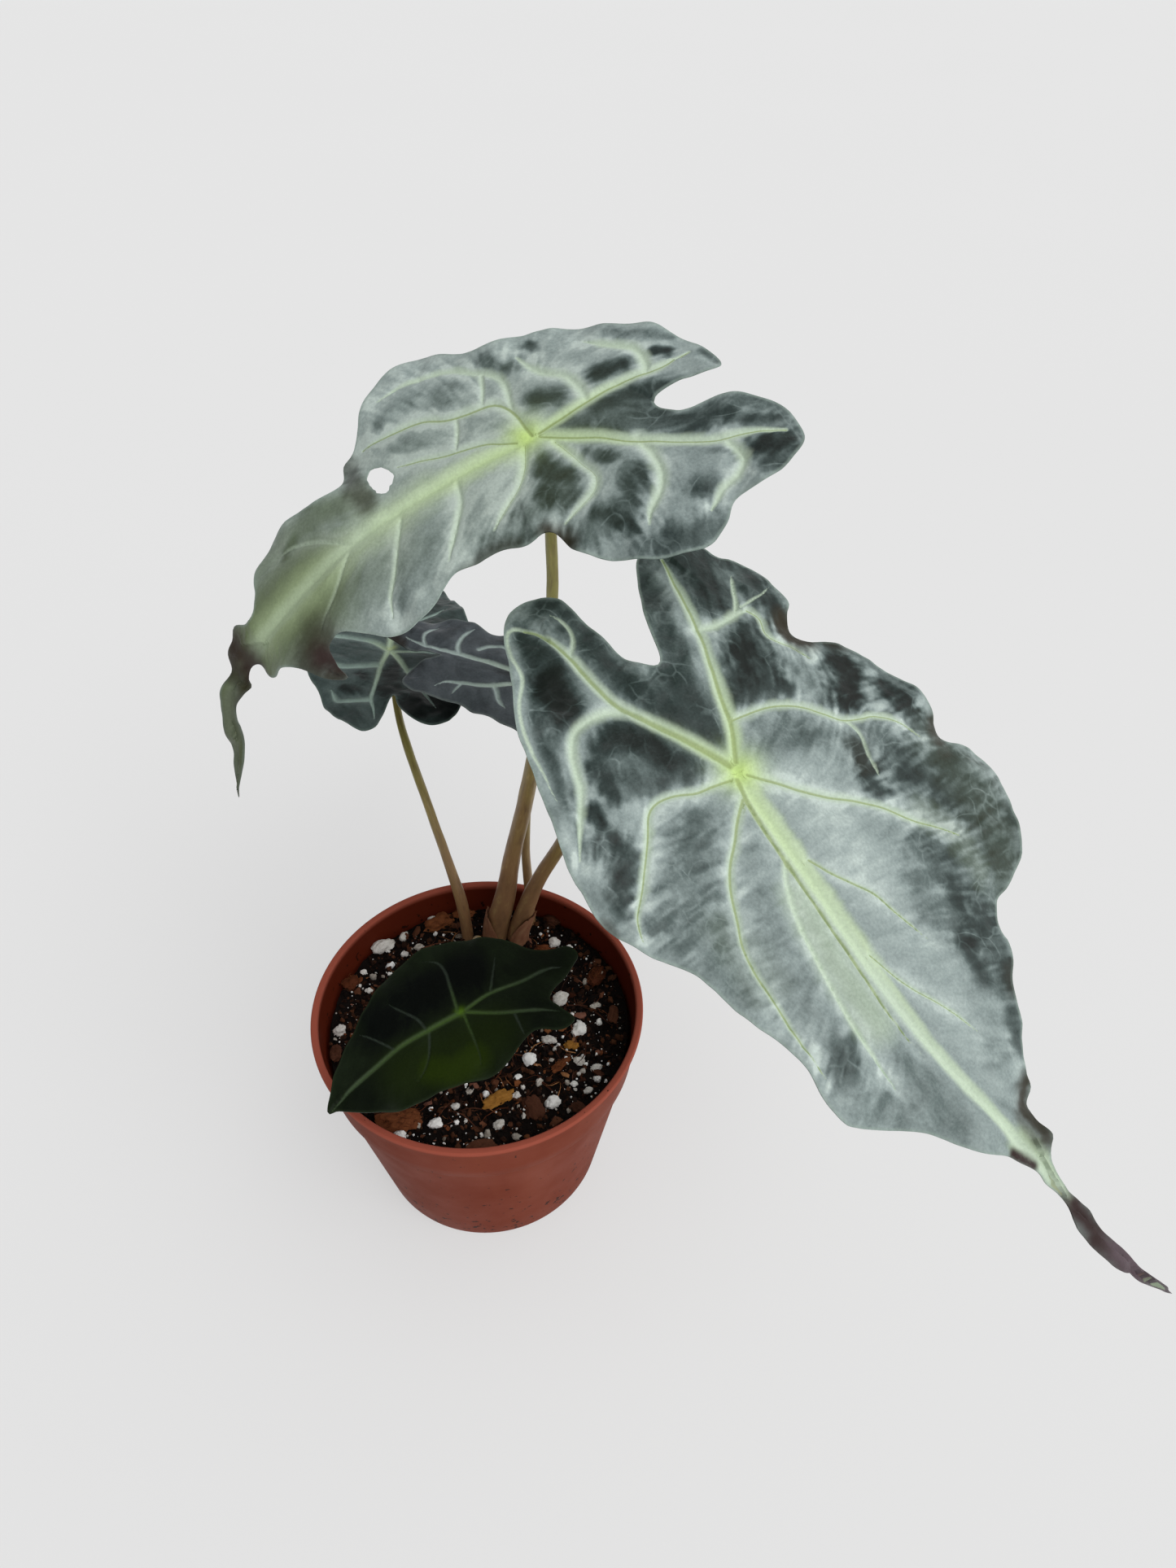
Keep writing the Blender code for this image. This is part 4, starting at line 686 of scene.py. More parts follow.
def places_of(mesh):
    """Where a mesh's points are, in millimetres."""
    places = np.empty(len(mesh.vertices) * 3)
    mesh.vertices.foreach_get("co", places)
    return places.reshape(-1, 3) / MM


def settle(piece, slot, *nodes):
    """Hands a finished piece to the frame: its body and the nodes that it stands for, which it
    hides. The slot is not used.
    """
    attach(piece, ROOT)
    if nodes:
        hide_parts(*nodes)


def through_nodes(host, tree, values):
    """The host's plain mesh after a Geometry Nodes tree, with the modifier gone again."""
    grown = host.modifiers.new(tree.name, "NODES")
    grown.node_group = tree
    for item in tree.interface.items_tree:
        if item.item_type == "SOCKET" and item.in_out == "INPUT" and item.name in values:
            grown[item.identifier] = values[item.name]
    graph = bpy.context.evaluated_depsgraph_get()
    mesh = bpy.data.meshes.new_from_object(host.evaluated_get(graph))
    host.modifiers.remove(grown)
    if not mesh.polygons:
        raise RuntimeError(f"{tree.name} made no faces on {host.name}")
    return mesh


# Curves and fields on the flat blade

def smooth_curve(points, per_span, closed=False):
    """Points on a Catmull-Rom curve through the given ones, per_span to each stretch."""
    given = np.array(points, float)
    count = len(given)
    made = []
    for k in range(count if closed else count - 1):
        if closed:
            p0, p1, p2, p3 = (given[(k + j - 1) % count] for j in range(4))
        else:
            p1, p2 = given[k], given[k + 1]
            p0 = given[k - 1] if k else 2 * p1 - p2
            p3 = given[k + 2] if k + 2 < count else 2 * p2 - p1
        for step in range(per_span):
            t = step / per_span
            made.append(0.5 * (2 * p1 + (p2 - p0) * t + (2 * p0 - 5 * p1 + 4 * p2 - p3) * t ** 2
                               + (3 * p1 - p0 - 3 * p2 + p3) * t ** 3))
    if not closed:
        made.append(given[-1])
    return np.array(made)


def even_points(path, spacing, closed=False):
    """The path resampled at an even spacing, as near to the one asked for as divides it."""
    if closed:
        path = np.vstack([path, path[:1]])
    lengths = np.concatenate([[0], np.cumsum(np.linalg.norm(np.diff(path, axis=0), axis=1))])
    count = max(2, round(lengths[-1] / spacing))
    at = np.linspace(0, lengths[-1], count + 1)
    made = np.stack([np.interp(at, lengths, path[:, k]) for k in range(path.shape[1])], -1)
    return made[:-1] if closed else made


def distance_to(path, points, closed=False):
    """Each point's distance to a path, how far along that is, the path's length and the offset."""
    ends = np.vstack([path, path[:1]]) if closed else path
    start, step = ends[:-1], np.diff(ends, axis=0)
    length = np.linalg.norm(step, axis=1)
    before = np.concatenate([[0], np.cumsum(length)])[:-1]
    gaps, along, offsets = np.empty(len(points)), np.empty(len(points)), np.empty((len(points), 2))
    for first in range(0, len(points), BATCH):
        part = slice(first, first + BATCH)
        offset = points[part][:, None, :] - start[None]
        share = np.clip((offset * step).sum(-1) / np.maximum(length ** 2, 1e-9), 0, 1)
        offset = offset - share[..., None] * step
        away = np.linalg.norm(offset, axis=-1)
        nearest, rows = away.argmin(1), np.arange(len(away))
        gaps[part], offsets[part] = away[rows, nearest], offset[rows, nearest]
        along[part] = before[nearest] + share[rows, nearest] * length[nearest]
    return gaps, along, length.sum(), offsets


def inside(outline, points):
    """Whether each point lies inside the closed outline, by counting crossings."""
    x, y = points[:, 0], points[:, 1]
    found = np.zeros(len(points), bool)
    for a, b in zip(outline, np.roll(outline, -1, axis=0)):
        crosses = (a[1] > y) != (b[1] > y)
        rise = b[1] - a[1] if b[1] != a[1] else 1e-12
        found ^= crosses & (x < (b[0] - a[0]) * (y - a[1]) / rise + a[0])
    return found


def ease(value):
    """A smooth step from 0 to 1."""
    value = np.clip(value, 0, 1)
    return value * value * (3 - 2 * value)


def flat_noise(points, size, seed):
    """Smooth noise from 0 to 1 with features of about one size, from a seeded table."""
    x, y = points[:, 0] / size, points[:, 1] / size
    table = np.random.RandomState(seed).rand(64, 64)
    column, row = np.floor(x).astype(int), np.floor(y).astype(int)
    u, v = ease(x - column), ease(y - row)
    corner = [[table[(column + i) % 64, (row + j) % 64] for j in (0, 1)] for i in (0, 1)]
    low = corner[0][0] * (1 - u) + corner[1][0] * u
    high = corner[0][1] * (1 - u) + corner[1][1] * u
    return low * (1 - v) + high * v


def rim_sides(faces):
    """The sides that only one triangle has, each running the way of its triangle."""
    sides = np.concatenate([faces[:, [0, 1]], faces[:, [1, 2]], faces[:, [2, 0]]]).tolist()
    held = {tuple(side) for side in sides}
    return [(a, b) for a, b in sides if (b, a) not in held]


def fill_net(outline, hole, spacing, seed):
    """A net of small triangles that fills a flat outline, around its hole."""
    draw = np.random.RandomState(seed)
    low, high = outline.min(0), outline.max(0)
    rows = np.arange(low[1], high[1], spacing * math.sqrt(3) / 2)
    grid = np.array([(x + (k % 2) * spacing / 2, y) for k, y in enumerate(rows)
                     for x in np.arange(low[0], high[0], spacing)])
    grid += draw.uniform(-0.12, 0.12, grid.shape) * spacing
    grid = grid[inside(outline, grid)]
    grid = grid[distance_to(outline, grid, closed=True)[0] > 0.55 * spacing]
    loops = [outline]
    if len(hole):
        clear = distance_to(hole, grid, closed=True)[0] > 0.5 * spacing
        grid = grid[clear & ~inside(hole, grid)]
        loops.append(hole)
    points, edges = [], []
    for loop in loops:
        first = len(points)
        points.extend(loop)
        edges.extend((first + k, first + (k + 1) % len(loop)) for k in range(len(loop)))
    points.extend(grid)
    vectors = [Vector((float(p[0]), float(p[1]))) for p in points]
    made, _, faces, _, _, _ = delaunay_2d_cdt(vectors, edges, [], 1, 0.01)
    flat = np.array([(v.x, v.y) for v in made])
    faces = np.array([tuple(f) for f in faces])
    middles = flat[faces].mean(1)
    wanted = inside(outline, middles)
    if len(hole):
        wanted &= ~inside(hole, middles)
    faces = faces[wanted]
    a, b, c = (flat[faces[:, k]] for k in range(3))
    ab, ac = b - a, c - a
    face_down = ab[:, 0] * ac[:, 1] - ab[:, 1] * ac[:, 0] < 0
    faces[face_down] = faces[face_down][:, ::-1]
    return flat, faces


def split_once(flat, faces):
    """Each triangle cut into four. Also gives the new middle point of every edge."""
    sides = np.sort(np.concatenate([faces[:, [0, 1]], faces[:, [1, 2]], faces[:, [2, 0]]]), axis=1)
    edges, which = np.unique(sides, axis=0, return_inverse=True)
    which = which.reshape(3, -1).T + len(flat)
    points = np.vstack([flat, flat[edges].mean(1)])
    a, b, c = faces.T
    ab, bc, ca = which.T
    finer = np.concatenate([np.stack(corner, -1) for corner in
                            ((a, ab, ca), (ab, b, bc), (ca, bc, c), (ab, bc, ca))])
    middle = {tuple(edge): k + len(flat) for k, edge in enumerate(edges.tolist())}
    return points, finer, middle


def spine_frames(leaf):
    """The midrib's place and its three directions at every millimetre along it."""
    stations = np.array(leaf["spine"], float)
    at = np.arange(stations[0, 0] - 10, stations[-1, 0] + 11)
    window = np.hanning(23)[1:-1]
    window /= window.sum()
    smooth = []
    for column in (1, 2, 3):
        values = np.pad(np.interp(at, stations[:, 0], stations[:, column]), 10, mode="edge")
        smooth.append(np.radians(np.convolve(values, window, "valid")))
    dip, heading, roll = smooth
    level = np.stack([np.cos(heading), np.sin(heading), 0 * heading], -1)
    along = level * np.cos(dip)[:, None] - np.array([0, 0, 1.0]) * np.sin(dip)[:, None]
    left = np.stack([-np.sin(heading), np.cos(heading), 0 * heading], -1)
    up = np.cross(along, left)
    side = left * np.cos(roll)[:, None] + up * np.sin(roll)[:, None]
    place = np.concatenate([[np.zeros(3)], np.cumsum((along[1:] + along[:-1]) / 2, axis=0)])
    place += np.array(leaf["junction"], float) - place[int(np.argmin(np.abs(at)))]
    return at, place, along, side, np.cross(along, side)


def lifted(frames, points, height):
    """Flat blade points, in millimetres, carried to their place on the bent blade."""
    at, place, _, side, normal = frames

    def read(table):
        return np.stack([np.interp(points[:, 0], at, table[:, k]) for k in range(3)], -1)

    return read(place) + read(side) * points[:, 1:2] + read(normal) * height[:, None]


def vein_fields(leaf, points):
    """For each point, its gap to a vein, bare and in vein widths, and its offset from the line."""
    gap = np.full(len(points), 1e3)
    rib_gap, width, veil = gap.copy(), gap.copy(), gap.copy()
    warm, halo = np.zeros(len(points)), np.zeros(len(points))
    line = np.full((len(points), 2), 9.0)
    for k, (root, tip, core, route) in enumerate(leaf["veins"]):
        path = even_points(smooth_curve(route, 6), PATH_STEP)
        away, along, length, offset = distance_to(path, points)
        share = along / length
        # the last stretch of a vein runs out to a point
        taper = 1 - 0.7 * ease((share - 0.75) / 0.25)
        over = away / ((root + (tip - root) * share ** 0.8) * taper)
        width = np.minimum(width, over)
        if core:
            wide = core * (SIDE_LINE if k else MIDRIB_LINE) * (1 - 0.55 * share)
            drawn = offset / wide[:, None]
            nearer = np.linalg.norm(drawn, axis=1) < np.linalg.norm(line, axis=1)
            line = np.where(nearer[:, None], drawn, line)
        gap = np.minimum(gap, away)
        if k < RIBS:
            rib_gap = np.minimum(rib_gap, away)
            veil = np.minimum(veil, over)
        else:
            # a side vein has no crisp edge: it fades out into the bloom
            veil = np.minimum(veil, 0.36 + 0.58 * over)
            soft = min(1.0, root / 1.2) * np.exp(-(away / (1.8 + root)) ** 2)
            halo = np.maximum(halo, soft)
        from_root = along + np.linalg.norm(path[0])
        fade = np.clip(1 - from_root / GLOW_REACH[min(k, RIBS)], 0, 1)
        warm = np.maximum(warm, np.exp(-(over / 0.9) ** 2) * fade)
    return dict(gap=gap, rib_gap=rib_gap, width=width, veil=veil, halo=halo, line=line, warm=warm)


def combed(leaf, points):
    """Streaks along the blade's grain, about -1 to 1: noise averaged the way the grain runs."""
    samples = np.array(leaf["grain"], float)
    turn, seed = np.radians(samples[:, 2]), leaf["seed"]

    def grain_at(places):
        away = ((places[:, None] - samples[None, :, :2]) ** 2).sum(-1)
        weight = 1 / (away + 16) ** 1.5
        across, up = weight @ np.cos(2 * turn), weight @ np.sin(2 * turn)
        return np.arctan2(up, across) / 2, (weight @ samples[:, 3]) / weight.sum(1)

    start, strength = grain_at(points)
    total = np.zeros(len(points))
    for way in (1, -1):
        places, heading = points.copy(), start.copy()
        for _ in range(4):
            total += 0.6 * flat_noise(places, 0.95, seed + 11)
            total += 0.4 * flat_noise(places, 2.3, seed + 12)
            places = places + way * 0.8 * np.stack([np.cos(heading), np.sin(heading)], -1)
            # a grain has no front or back: keep to the bearing nearer the last one
            swing = (grain_at(places)[0] - heading + math.pi / 2) % math.pi - math.pi / 2
            heading = heading + swing
    total += 1.6 * flat_noise(points, 1.7, seed + 13)
    return np.clip((total - total.mean()) / (2 * total.std()), -1.2, 1.2), strength


def stroke(points, reach, route, ruffle):
    """How strongly a soft brush stroke along a route covers each point."""
    route = np.array(route, float)
    if len(route) == 1:
        away = np.linalg.norm(points - route[0], axis=1)
    else:
        away = distance_to(even_points(smooth_curve(route, 6), PATH_STEP), points)[0]
    return 1 - ease((away + ruffle * min(1.0, reach / 3) - 0.2 * reach) / (1.6 * reach))


def blade_height(leaf, points, edge, fields):
    """How far each point is lifted: drooping sides, waved margin, quilting, folds, fine relief."""
    outline = even_points(smooth_curve(leaf["outline"], 6, closed=True), 2.0, closed=True)
    half_width = np.abs(outline[:, 1]).max()
    rim, along_rim, girth, _ = distance_to(outline, points, closed=True)
    height = -leaf["droop"] * points[:, 1] ** 2 / half_width
    waves = max(3, round(girth / leaf["wave_length"]))
    turn = 2 * math.pi * (waves * along_rim / girth + leaf["wave_phase"])
    ruffle = np.sin(turn) + 0.35 * np.sin(2.6 * turn + 1.0)
    height += leaf["wave"] * ruffle * np.clip(1 - rim / (RUFFLE_REACH * half_width), 0, 1) ** 1.5
    calm = np.clip(edge / QUILT_MARGIN, 0, 1)
    height += leaf["quilt"] * calm * (1 - np.exp(-fields["gap"] / QUILT_REACH))
    for along, across, reach, depth in leaf["folds"]:
        away = np.hypot(points[:, 0] - along, points[:, 1] - across)
        height += depth * np.exp(-(away / reach) ** 2)
    creased = flat_noise(points, 5.5, leaf["seed"] + 2) - 0.5
    creased += 0.5 * (flat_noise(points, 2.4, leaf["seed"] + 3) - 0.5)
    height += leaf["crumple"] * creased * (0.25 + 0.9 * np.clip(1 - edge / 22, 0, 1))
    height += leaf["crumple"] * 0.1 * fields["comb"] * ease(fields["gap"] / 3) * ease(edge / 2)
    return height


def blade_masks(leaf, points, edge, fields):
    """The masks that the blade's finish reads, one value at each point."""
    comb, strength = fields["comb"], fields["comb_strength"]
    ruffle = 1.25 * strength * comb
    tone = np.full(len(points), float(leaf["tone"]))
    for value, reach, route in leaf["tones"]:
        cover = stroke(points, reach, route, ruffle)
        tone += cover * (value - tone)
    tone += 0.17 * strength * comb + 0.38 * fields["halo"] * (1 + 0.6 * strength * comb)
    made = dict(tone=tone, vein=fields["veil"] * (1 + 0.22 * strength * comb), edge=edge)
    for kind in TINTS:
        made[kind] = np.zeros(len(points))
    for kind, most, reach, route in leaf["tints"]:
        cover = most * stroke(points, reach, route, 0.8 * ruffle)
        made[kind] = np.maximum(made[kind], cover)
    strength, reach = leaf["warm"]
    from_root = np.linalg.norm(points - np.array((0.5, -0.2)) * reach, axis=1)
    made["hot"] = strength * np.maximum(0.95 * np.exp(-(from_root / reach) ** 2),
                                        0.55 * fields["warm"])
    return made


def blade_piece(name, leaf, settings, finishes):
    """One leaf blade as a closed thin sheet, finer above than below, with its masks."""
    spacing, seed = leaf["mesh"] * 1.0, leaf["seed"]
    margin = even_points(smooth_curve(leaf.get("margin", leaf["outline"]), 8, closed=True),
                         spacing, closed=True)
    turn = np.arange(len(margin)) * spacing
    nibbled = flat_noise(np.stack([turn, 0 * turn + 2.25], -1), 4.5, seed + 5)[:, None]
    middle = even_points(smooth_curve(leaf["veins"][0][3], 6), 3.0)
    outward = margin - middle[np.linalg.norm(margin[:, None] - middle[None], axis=-1).argmin(1)]
    reach = np.linalg.norm(outward, axis=1)[:, None]
    margin = margin - outward / np.maximum(reach, 1) * np.clip(reach / 20, 0, 1) * 0.5 * nibbled
    hole = np.zeros((0, 2))
    if leaf["hole"]:
        hole = even_points(smooth_curve(leaf["hole"], 8, closed=True), spacing, closed=True)
        hole = hole + np.random.RandomState(seed + 6).uniform(-0.35, 0.35, hole.shape)
    flat, faces = fill_net(margin, hole, spacing, seed)
    fine, fine_faces, middles = split_once(flat, faces)
    edge = distance_to(margin, fine, closed=True)[0]
    if len(hole):
        edge = np.minimum(edge, distance_to(hole, fine, closed=True)[0])
    fields = vein_fields(leaf, fine)
    fields["comb"], fields["comb_strength"] = combed(leaf, fine)
    height = blade_height(leaf, fine, edge, fields) + BLADE_THICK / 2
    frames = spine_frames(leaf)
    groove = settings.groove / MM * np.exp(-(fields["width"] / 0.7) ** 2)
    top = lifted(frames, fine, height - groove * np.clip(edge / 3, 0.2, 1))
    count, coarse = len(fine), len(flat)
    under_edge = edge[:coarse]
    ridge = RIB_DROP * np.exp(-(fields["rib_gap"][:coarse] / 1.3) ** 2)
    ridge += 0.35 * np.exp(-(fields["gap"][:coarse] / 0.9) ** 2)
    ridge *= np.clip(under_edge / 3, 0.1, 1)
    thin = settings.thickness / MM * (0.6 + 0.4 * np.clip(under_edge / 4, 0, 1))
    under = lifted(frames, flat, height[:coarse] - thin - ridge)
    wall = []
    for a, b in rim_sides(faces):
        m = middles[(min(a, b), max(a, b))]
        wall += [(m, a, a + count), (b, m, b + count), (m, a + count, b + count)]
    solid = np.concatenate([fine_faces, faces[:, ::-1] + count, np.array(wall)])
    finish_of = np.zeros(len(solid), int)
    finish_of[len(fine_faces):len(fine_faces) + len(faces)] = 1
    piece = add_object(name + "_blade", np.vstack([top, under]), solid.tolist(), finishes,
                       finish_of, 60)
    for mask, values in blade_masks(leaf, fine, edge, fields).items():
        mark(piece.data, mask, np.concatenate([values, values[:coarse]]))
    for mask, values in (("place", fine), ("line", fields["line"])):
        both = np.vstack([values, values[:coarse]])
        mark(piece.data, mask, np.column_stack([both, both[:, 0] * 0]))
    settle(piece, leaf["slot"], name)


# Finishes

TINTS = ("pale", "olive", "brown", "maroon", "mauve")
BLADE_TONES = {
    # shades run from bare dark tissue to the full silver bloom
    "silver": dict(
        shades=((0.0, "#060B06"), (0.19, "#161E1B"), (0.36, "#333F3D"), (0.54, "#5C6967"),
                (0.7, "#84918F"), (0.84, "#9BA8A5"), (1.0, "#BBC8C2")), vein="#BED0C1",
        # line: the dark olive line is painted shade in each vein's groove
        line="#869659", hot="#BBD67E", pale="#BBCFA4", olive="#647150", brown="#26210F",
        maroon="#2C1A18", rim="#8C9C93", net=0.24, gloss=0.44, shine=0.22),
    "slate": dict(
        shades=((0.0, "#080C0A"), (0.3, "#1A2220"), (0.55, "#33403E"), (0.8, "#4A5856"),
                (1.0, "#5C6B67")), vein="#9BB0A7", line="#A9BE8E", hot="#BBCB78", pale="#7F938A",
        olive="#2A331E", brown="#1C1511", maroon="#3A2A2C", rim="#60726A", net=0.26, gloss=0.42,
        shine=0.2),
    "plum": dict(
        shades=((0.0, "#0E1011"), (0.3, "#2A2F32"), (0.55, "#454B50"), (0.8, "#585F64"),
                (1.0, "#677075")), vein="#B2C2BE", line="#A5B59A", hot="#A9B873", pale="#8A9C95",
        olive="#3A4438", brown="#241D16", maroon="#4A3A40", rim="#6A7471", net=0.26, gloss=0.42,
        shine=0.2),
    "night": dict(
        shades=((0.0, "#030503"), (0.3, "#070B08"), (0.6, "#11180D"), (1.0, "#1E2818")),
        vein="#384138", line="#4A5444", hot="#577A12", pale="#25330C", olive="#243206",
        brown="#1A1610", maroon="#241A1A", rim="#26301F", net=0.16, gloss=0.4, shine=0.06),
}


def blade_finish(name, tones):
    """Waxy living leaf, grown: satin, its silver bloom thinning to dark tissue off the veins."""
    made, tree, shader = new_finish(name, Specular_IOR_Level=tones["shine"])
    place, line = (node(tree, "Attribute", attribute_name=key).outputs["Vector"]
                   for key in ("place", "line"))
    mask = {key: node(tree, "Attribute", attribute_name=key).outputs["Fac"]
            for key in ("tone", "vein", "edge", "hot") + TINTS}
    cloud = node(tree, "TexNoise", {"Vector": place, "Scale": 0.22, "Detail": 4.0})
    cells = node(tree, "TexNoise", {"Vector": place, "Scale": 1.3, "Detail": 4.0, "Roughness": 0.6})
    pores = node(tree, "TexVoronoi", {"Vector": place, "Scale": 1.0})
    # the finest veins wander over the dark tissue as a soft, broken net
    sway = node(tree, "TexNoise", {"Vector": place, "Scale": 0.08, "Detail": 1.0})
    bent = node(tree, "VectorMath", {0: sway.outputs["Color"], 1: (22, 22, 22), 2: place},
                operation="MULTIPLY_ADD")
    net = node(tree, "TexVoronoi", {"Vector": bent, "Scale": 0.14}, feature="DISTANCE_TO_EDGE")
    side = node(tree, "VectorMath", {0: line}, operation="LENGTH").outputs["Value"]
    # each of these is at its most where its value is near, and nothing where it is far
    fall = {key: node(tree, "MapRange", {0: value, 1: near, 2: far, 3: most, 4: 0.0},
                      interpolation_type="SMOOTHSTEP")
            for key, value, near, far, most in (
                ("patch", sway, 0.62, 0.45, 1.0), ("dark", mask["tone"], 0.35, 0.75, 1.0),
                ("net", net, 0.0, 0.09, tones["net"]), ("line", side, 0.3, 1.5, 0.7),
                ("near", mask["vein"], 0.6, 1.1, 1.0), ("band", mask["vein"], 0.3, 1.45, 0.92),
                ("rim", mask["edge"], 0.1, 0.9, 0.55))}
    tone = mask["tone"]
    bare = node(tree, "Math", {0: fall["patch"], 1: fall["dark"]}, operation="MULTIPLY")
    for value, share in ((cloud, 0.22), (cells, 0.2), (fall["net"], bare)):
        tone = node(tree, "Math", {0: value, 1: share, 2: tone}, operation="MULTIPLY_ADD")
    # the tone runs from -0.3 to 1.3: brought to 0 to 1, less the mean of the two noises
    level = node(tree, "MapRange", {0: tone, 1: -0.09, 2: 1.51})
    bloom = node(tree, "ValToRGB", {0: level}, ramp=tones["shades"])
    # crease: the olive line along each vein's core; on the silver blades it is painted shade of the
    # vein's groove
    crease = node(tree, "Math", {0: fall["line"], 1: fall["near"]}, operation="MULTIPLY")
    # ageing olive tissue takes its veins with it
    aged = node(tree, "Math", {0: mask["olive"], 1: -0.7, 2: 1.0}, operation="MULTIPLY_ADD")
    band = node(tree, "Math", {0: fall["band"], 1: aged}, operation="MULTIPLY")
    ground = layered(tree, bloom, (
        (mask["olive"], tones["olive"]), (mask["pale"], tones["pale"]), (band, tones["vein"]),
        (fall["rim"], tones["rim"]), (mask["hot"], tones["hot"]), (crease, tones["line"]),
        (mask["brown"], tones["brown"]), (mask["maroon"], tones["maroon"]),
        (mask["mauve"], "#54464C")))
    # every tint is mottled a little by the same fine cells
    mottle = node(tree, "MapRange", {0: cells, 1: 0.3, 2: 0.7, 3: 0.9, 4: 1.08})
    ground = node(tree, "VectorMath", {0: ground, "Scale": mottle}, operation="SCALE")
    gloss = node(tree, "MapRange", {0: cloud, 1: 0.3, 2: 0.7, 3: tones["gloss"] - 0.06,
                                    4: tones["gloss"] + 0.08})
    low = node(tree, "Bump", {"Strength": 0.18, "Distance": 0.0002, "Height": pores})
    grain = node(tree, "Bump", {"Strength": 0.3, "Distance": 0.0002, "Height": cells,
                                 "Normal": low})
    feed(tree, shader, {"Base Color": ground, "Roughness": gloss, "Normal": grain})
    return made


def underside_finish(name, flesh, vein):
    """The blade's lower face, grown: matt, paler, with raised pale veins."""
    made, tree, shader = new_finish(name, Roughness=0.6)
    place = node(tree, "Attribute", attribute_name="place").outputs["Vector"]
    width, brown, maroon = (node(tree, "Attribute", attribute_name=key).outputs["Fac"]
                            for key in ("vein", "brown", "maroon"))
    cloud = node(tree, "TexNoise", {"Vector": place, "Scale": 0.3, "Detail": 5.0})
    tone = node(tree, "ValToRGB", {0: cloud}, ramp=((0.3, flesh[0]), (0.7, flesh[1])))
    band = node(tree, "MapRange", {0: width, 1: 0.2, 2: 0.8, 3: 1.0, 4: 0.0},
                interpolation_type="SMOOTHSTEP")
    ground = layered(tree, tone, ((band, vein), (brown, "#4A3A26"), (maroon, "#4A2C2E")))
    grain = node(tree, "Bump", {"Strength": 0.3, "Distance": 0.0002, "Height": cloud})
    feed(tree, shader, {"Base Color": ground, "Normal": grain})
    return made


def stalk_finish(settings):
    """Fleshy stalk skin, grown: satin, tan at the foot, olive above, with lengthwise flecks."""
    made, tree, shader = new_finish("stalk_skin_grown", Roughness=0.42)
    up = node(tree, "Attribute", attribute_name="rise").outputs["Fac"]
    skin = node(tree, "Attribute", attribute_name="skin").outputs["Vector"]
    flecks = node(tree, "TexNoise", {"Vector": skin, "Scale": 0.55, "Detail": 5.0,
                                     "Roughness": 0.65})
    blotches = node(tree, "TexNoise", {"Vector": skin, "Scale": 0.13, "Detail": 3.0})
    height = node(tree, "Math", {0: blotches, 1: 0.35, 2: up}, operation="MULTIPLY_ADD")
    body = node(tree, "MapRange", {0: height, 1: 0.3, 2: 0.95, 3: 0.0, 4: 1.0},
                interpolation_type="SMOOTHSTEP")
    dark = node(tree, "MapRange", {0: flecks, 1: 0.5, 2: 0.72, 3: 0.0, 4: 0.6})
    pale = node(tree, "MapRange", {0: flecks, 1: 0.44, 2: 0.3, 3: 0.0, 4: 0.45})
    ground = layered(tree, linear(settings.foot_colour), (
        (body, settings.top_colour), (dark, "#5E4430"), (pale, "#B9A06A")))
    relief = node(tree, "Bump", {"Strength": 0.35, "Distance": 0.0003, "Height": flecks})
    feed(tree, shader, {"Base Color": ground, "Normal": relief})
    return made


def sheath_finish(settings):
    """Dried leaf sheath, papery: matt fawn with fine lengthwise fibres and patches of the sheath
    colour.
    """
    made, tree, shader = new_finish("dry_sheath_papery", Roughness=0.72)
    skin = node(tree, "Attribute", attribute_name="skin").outputs["Vector"]
    fibres = node(tree, "TexNoise", {"Vector": skin, "Scale": 0.9, "Detail": 4.0})
    tone = node(tree, "ValToRGB", {0: fibres},
                ramp=((0.25, "#75472F"), (0.5, "#8E5F44"), (0.75, "#A37A5C")))
    worn = node(tree, "TexNoise", {"Vector": skin, "Scale": 0.2, "Detail": 2.0})
    worn = node(tree, "MapRange", {0: worn, 1: 0.45, 2: 0.7, 3: 0.0, 4: 0.55})
    ground = layered(tree, tone, ((worn, settings.sheath_colour),))
    relief = node(tree, "Bump", {"Strength": 0.3, "Distance": 0.0002, "Height": fibres})
    feed(tree, shader, {"Base Color": ground, "Normal": relief})
    return made


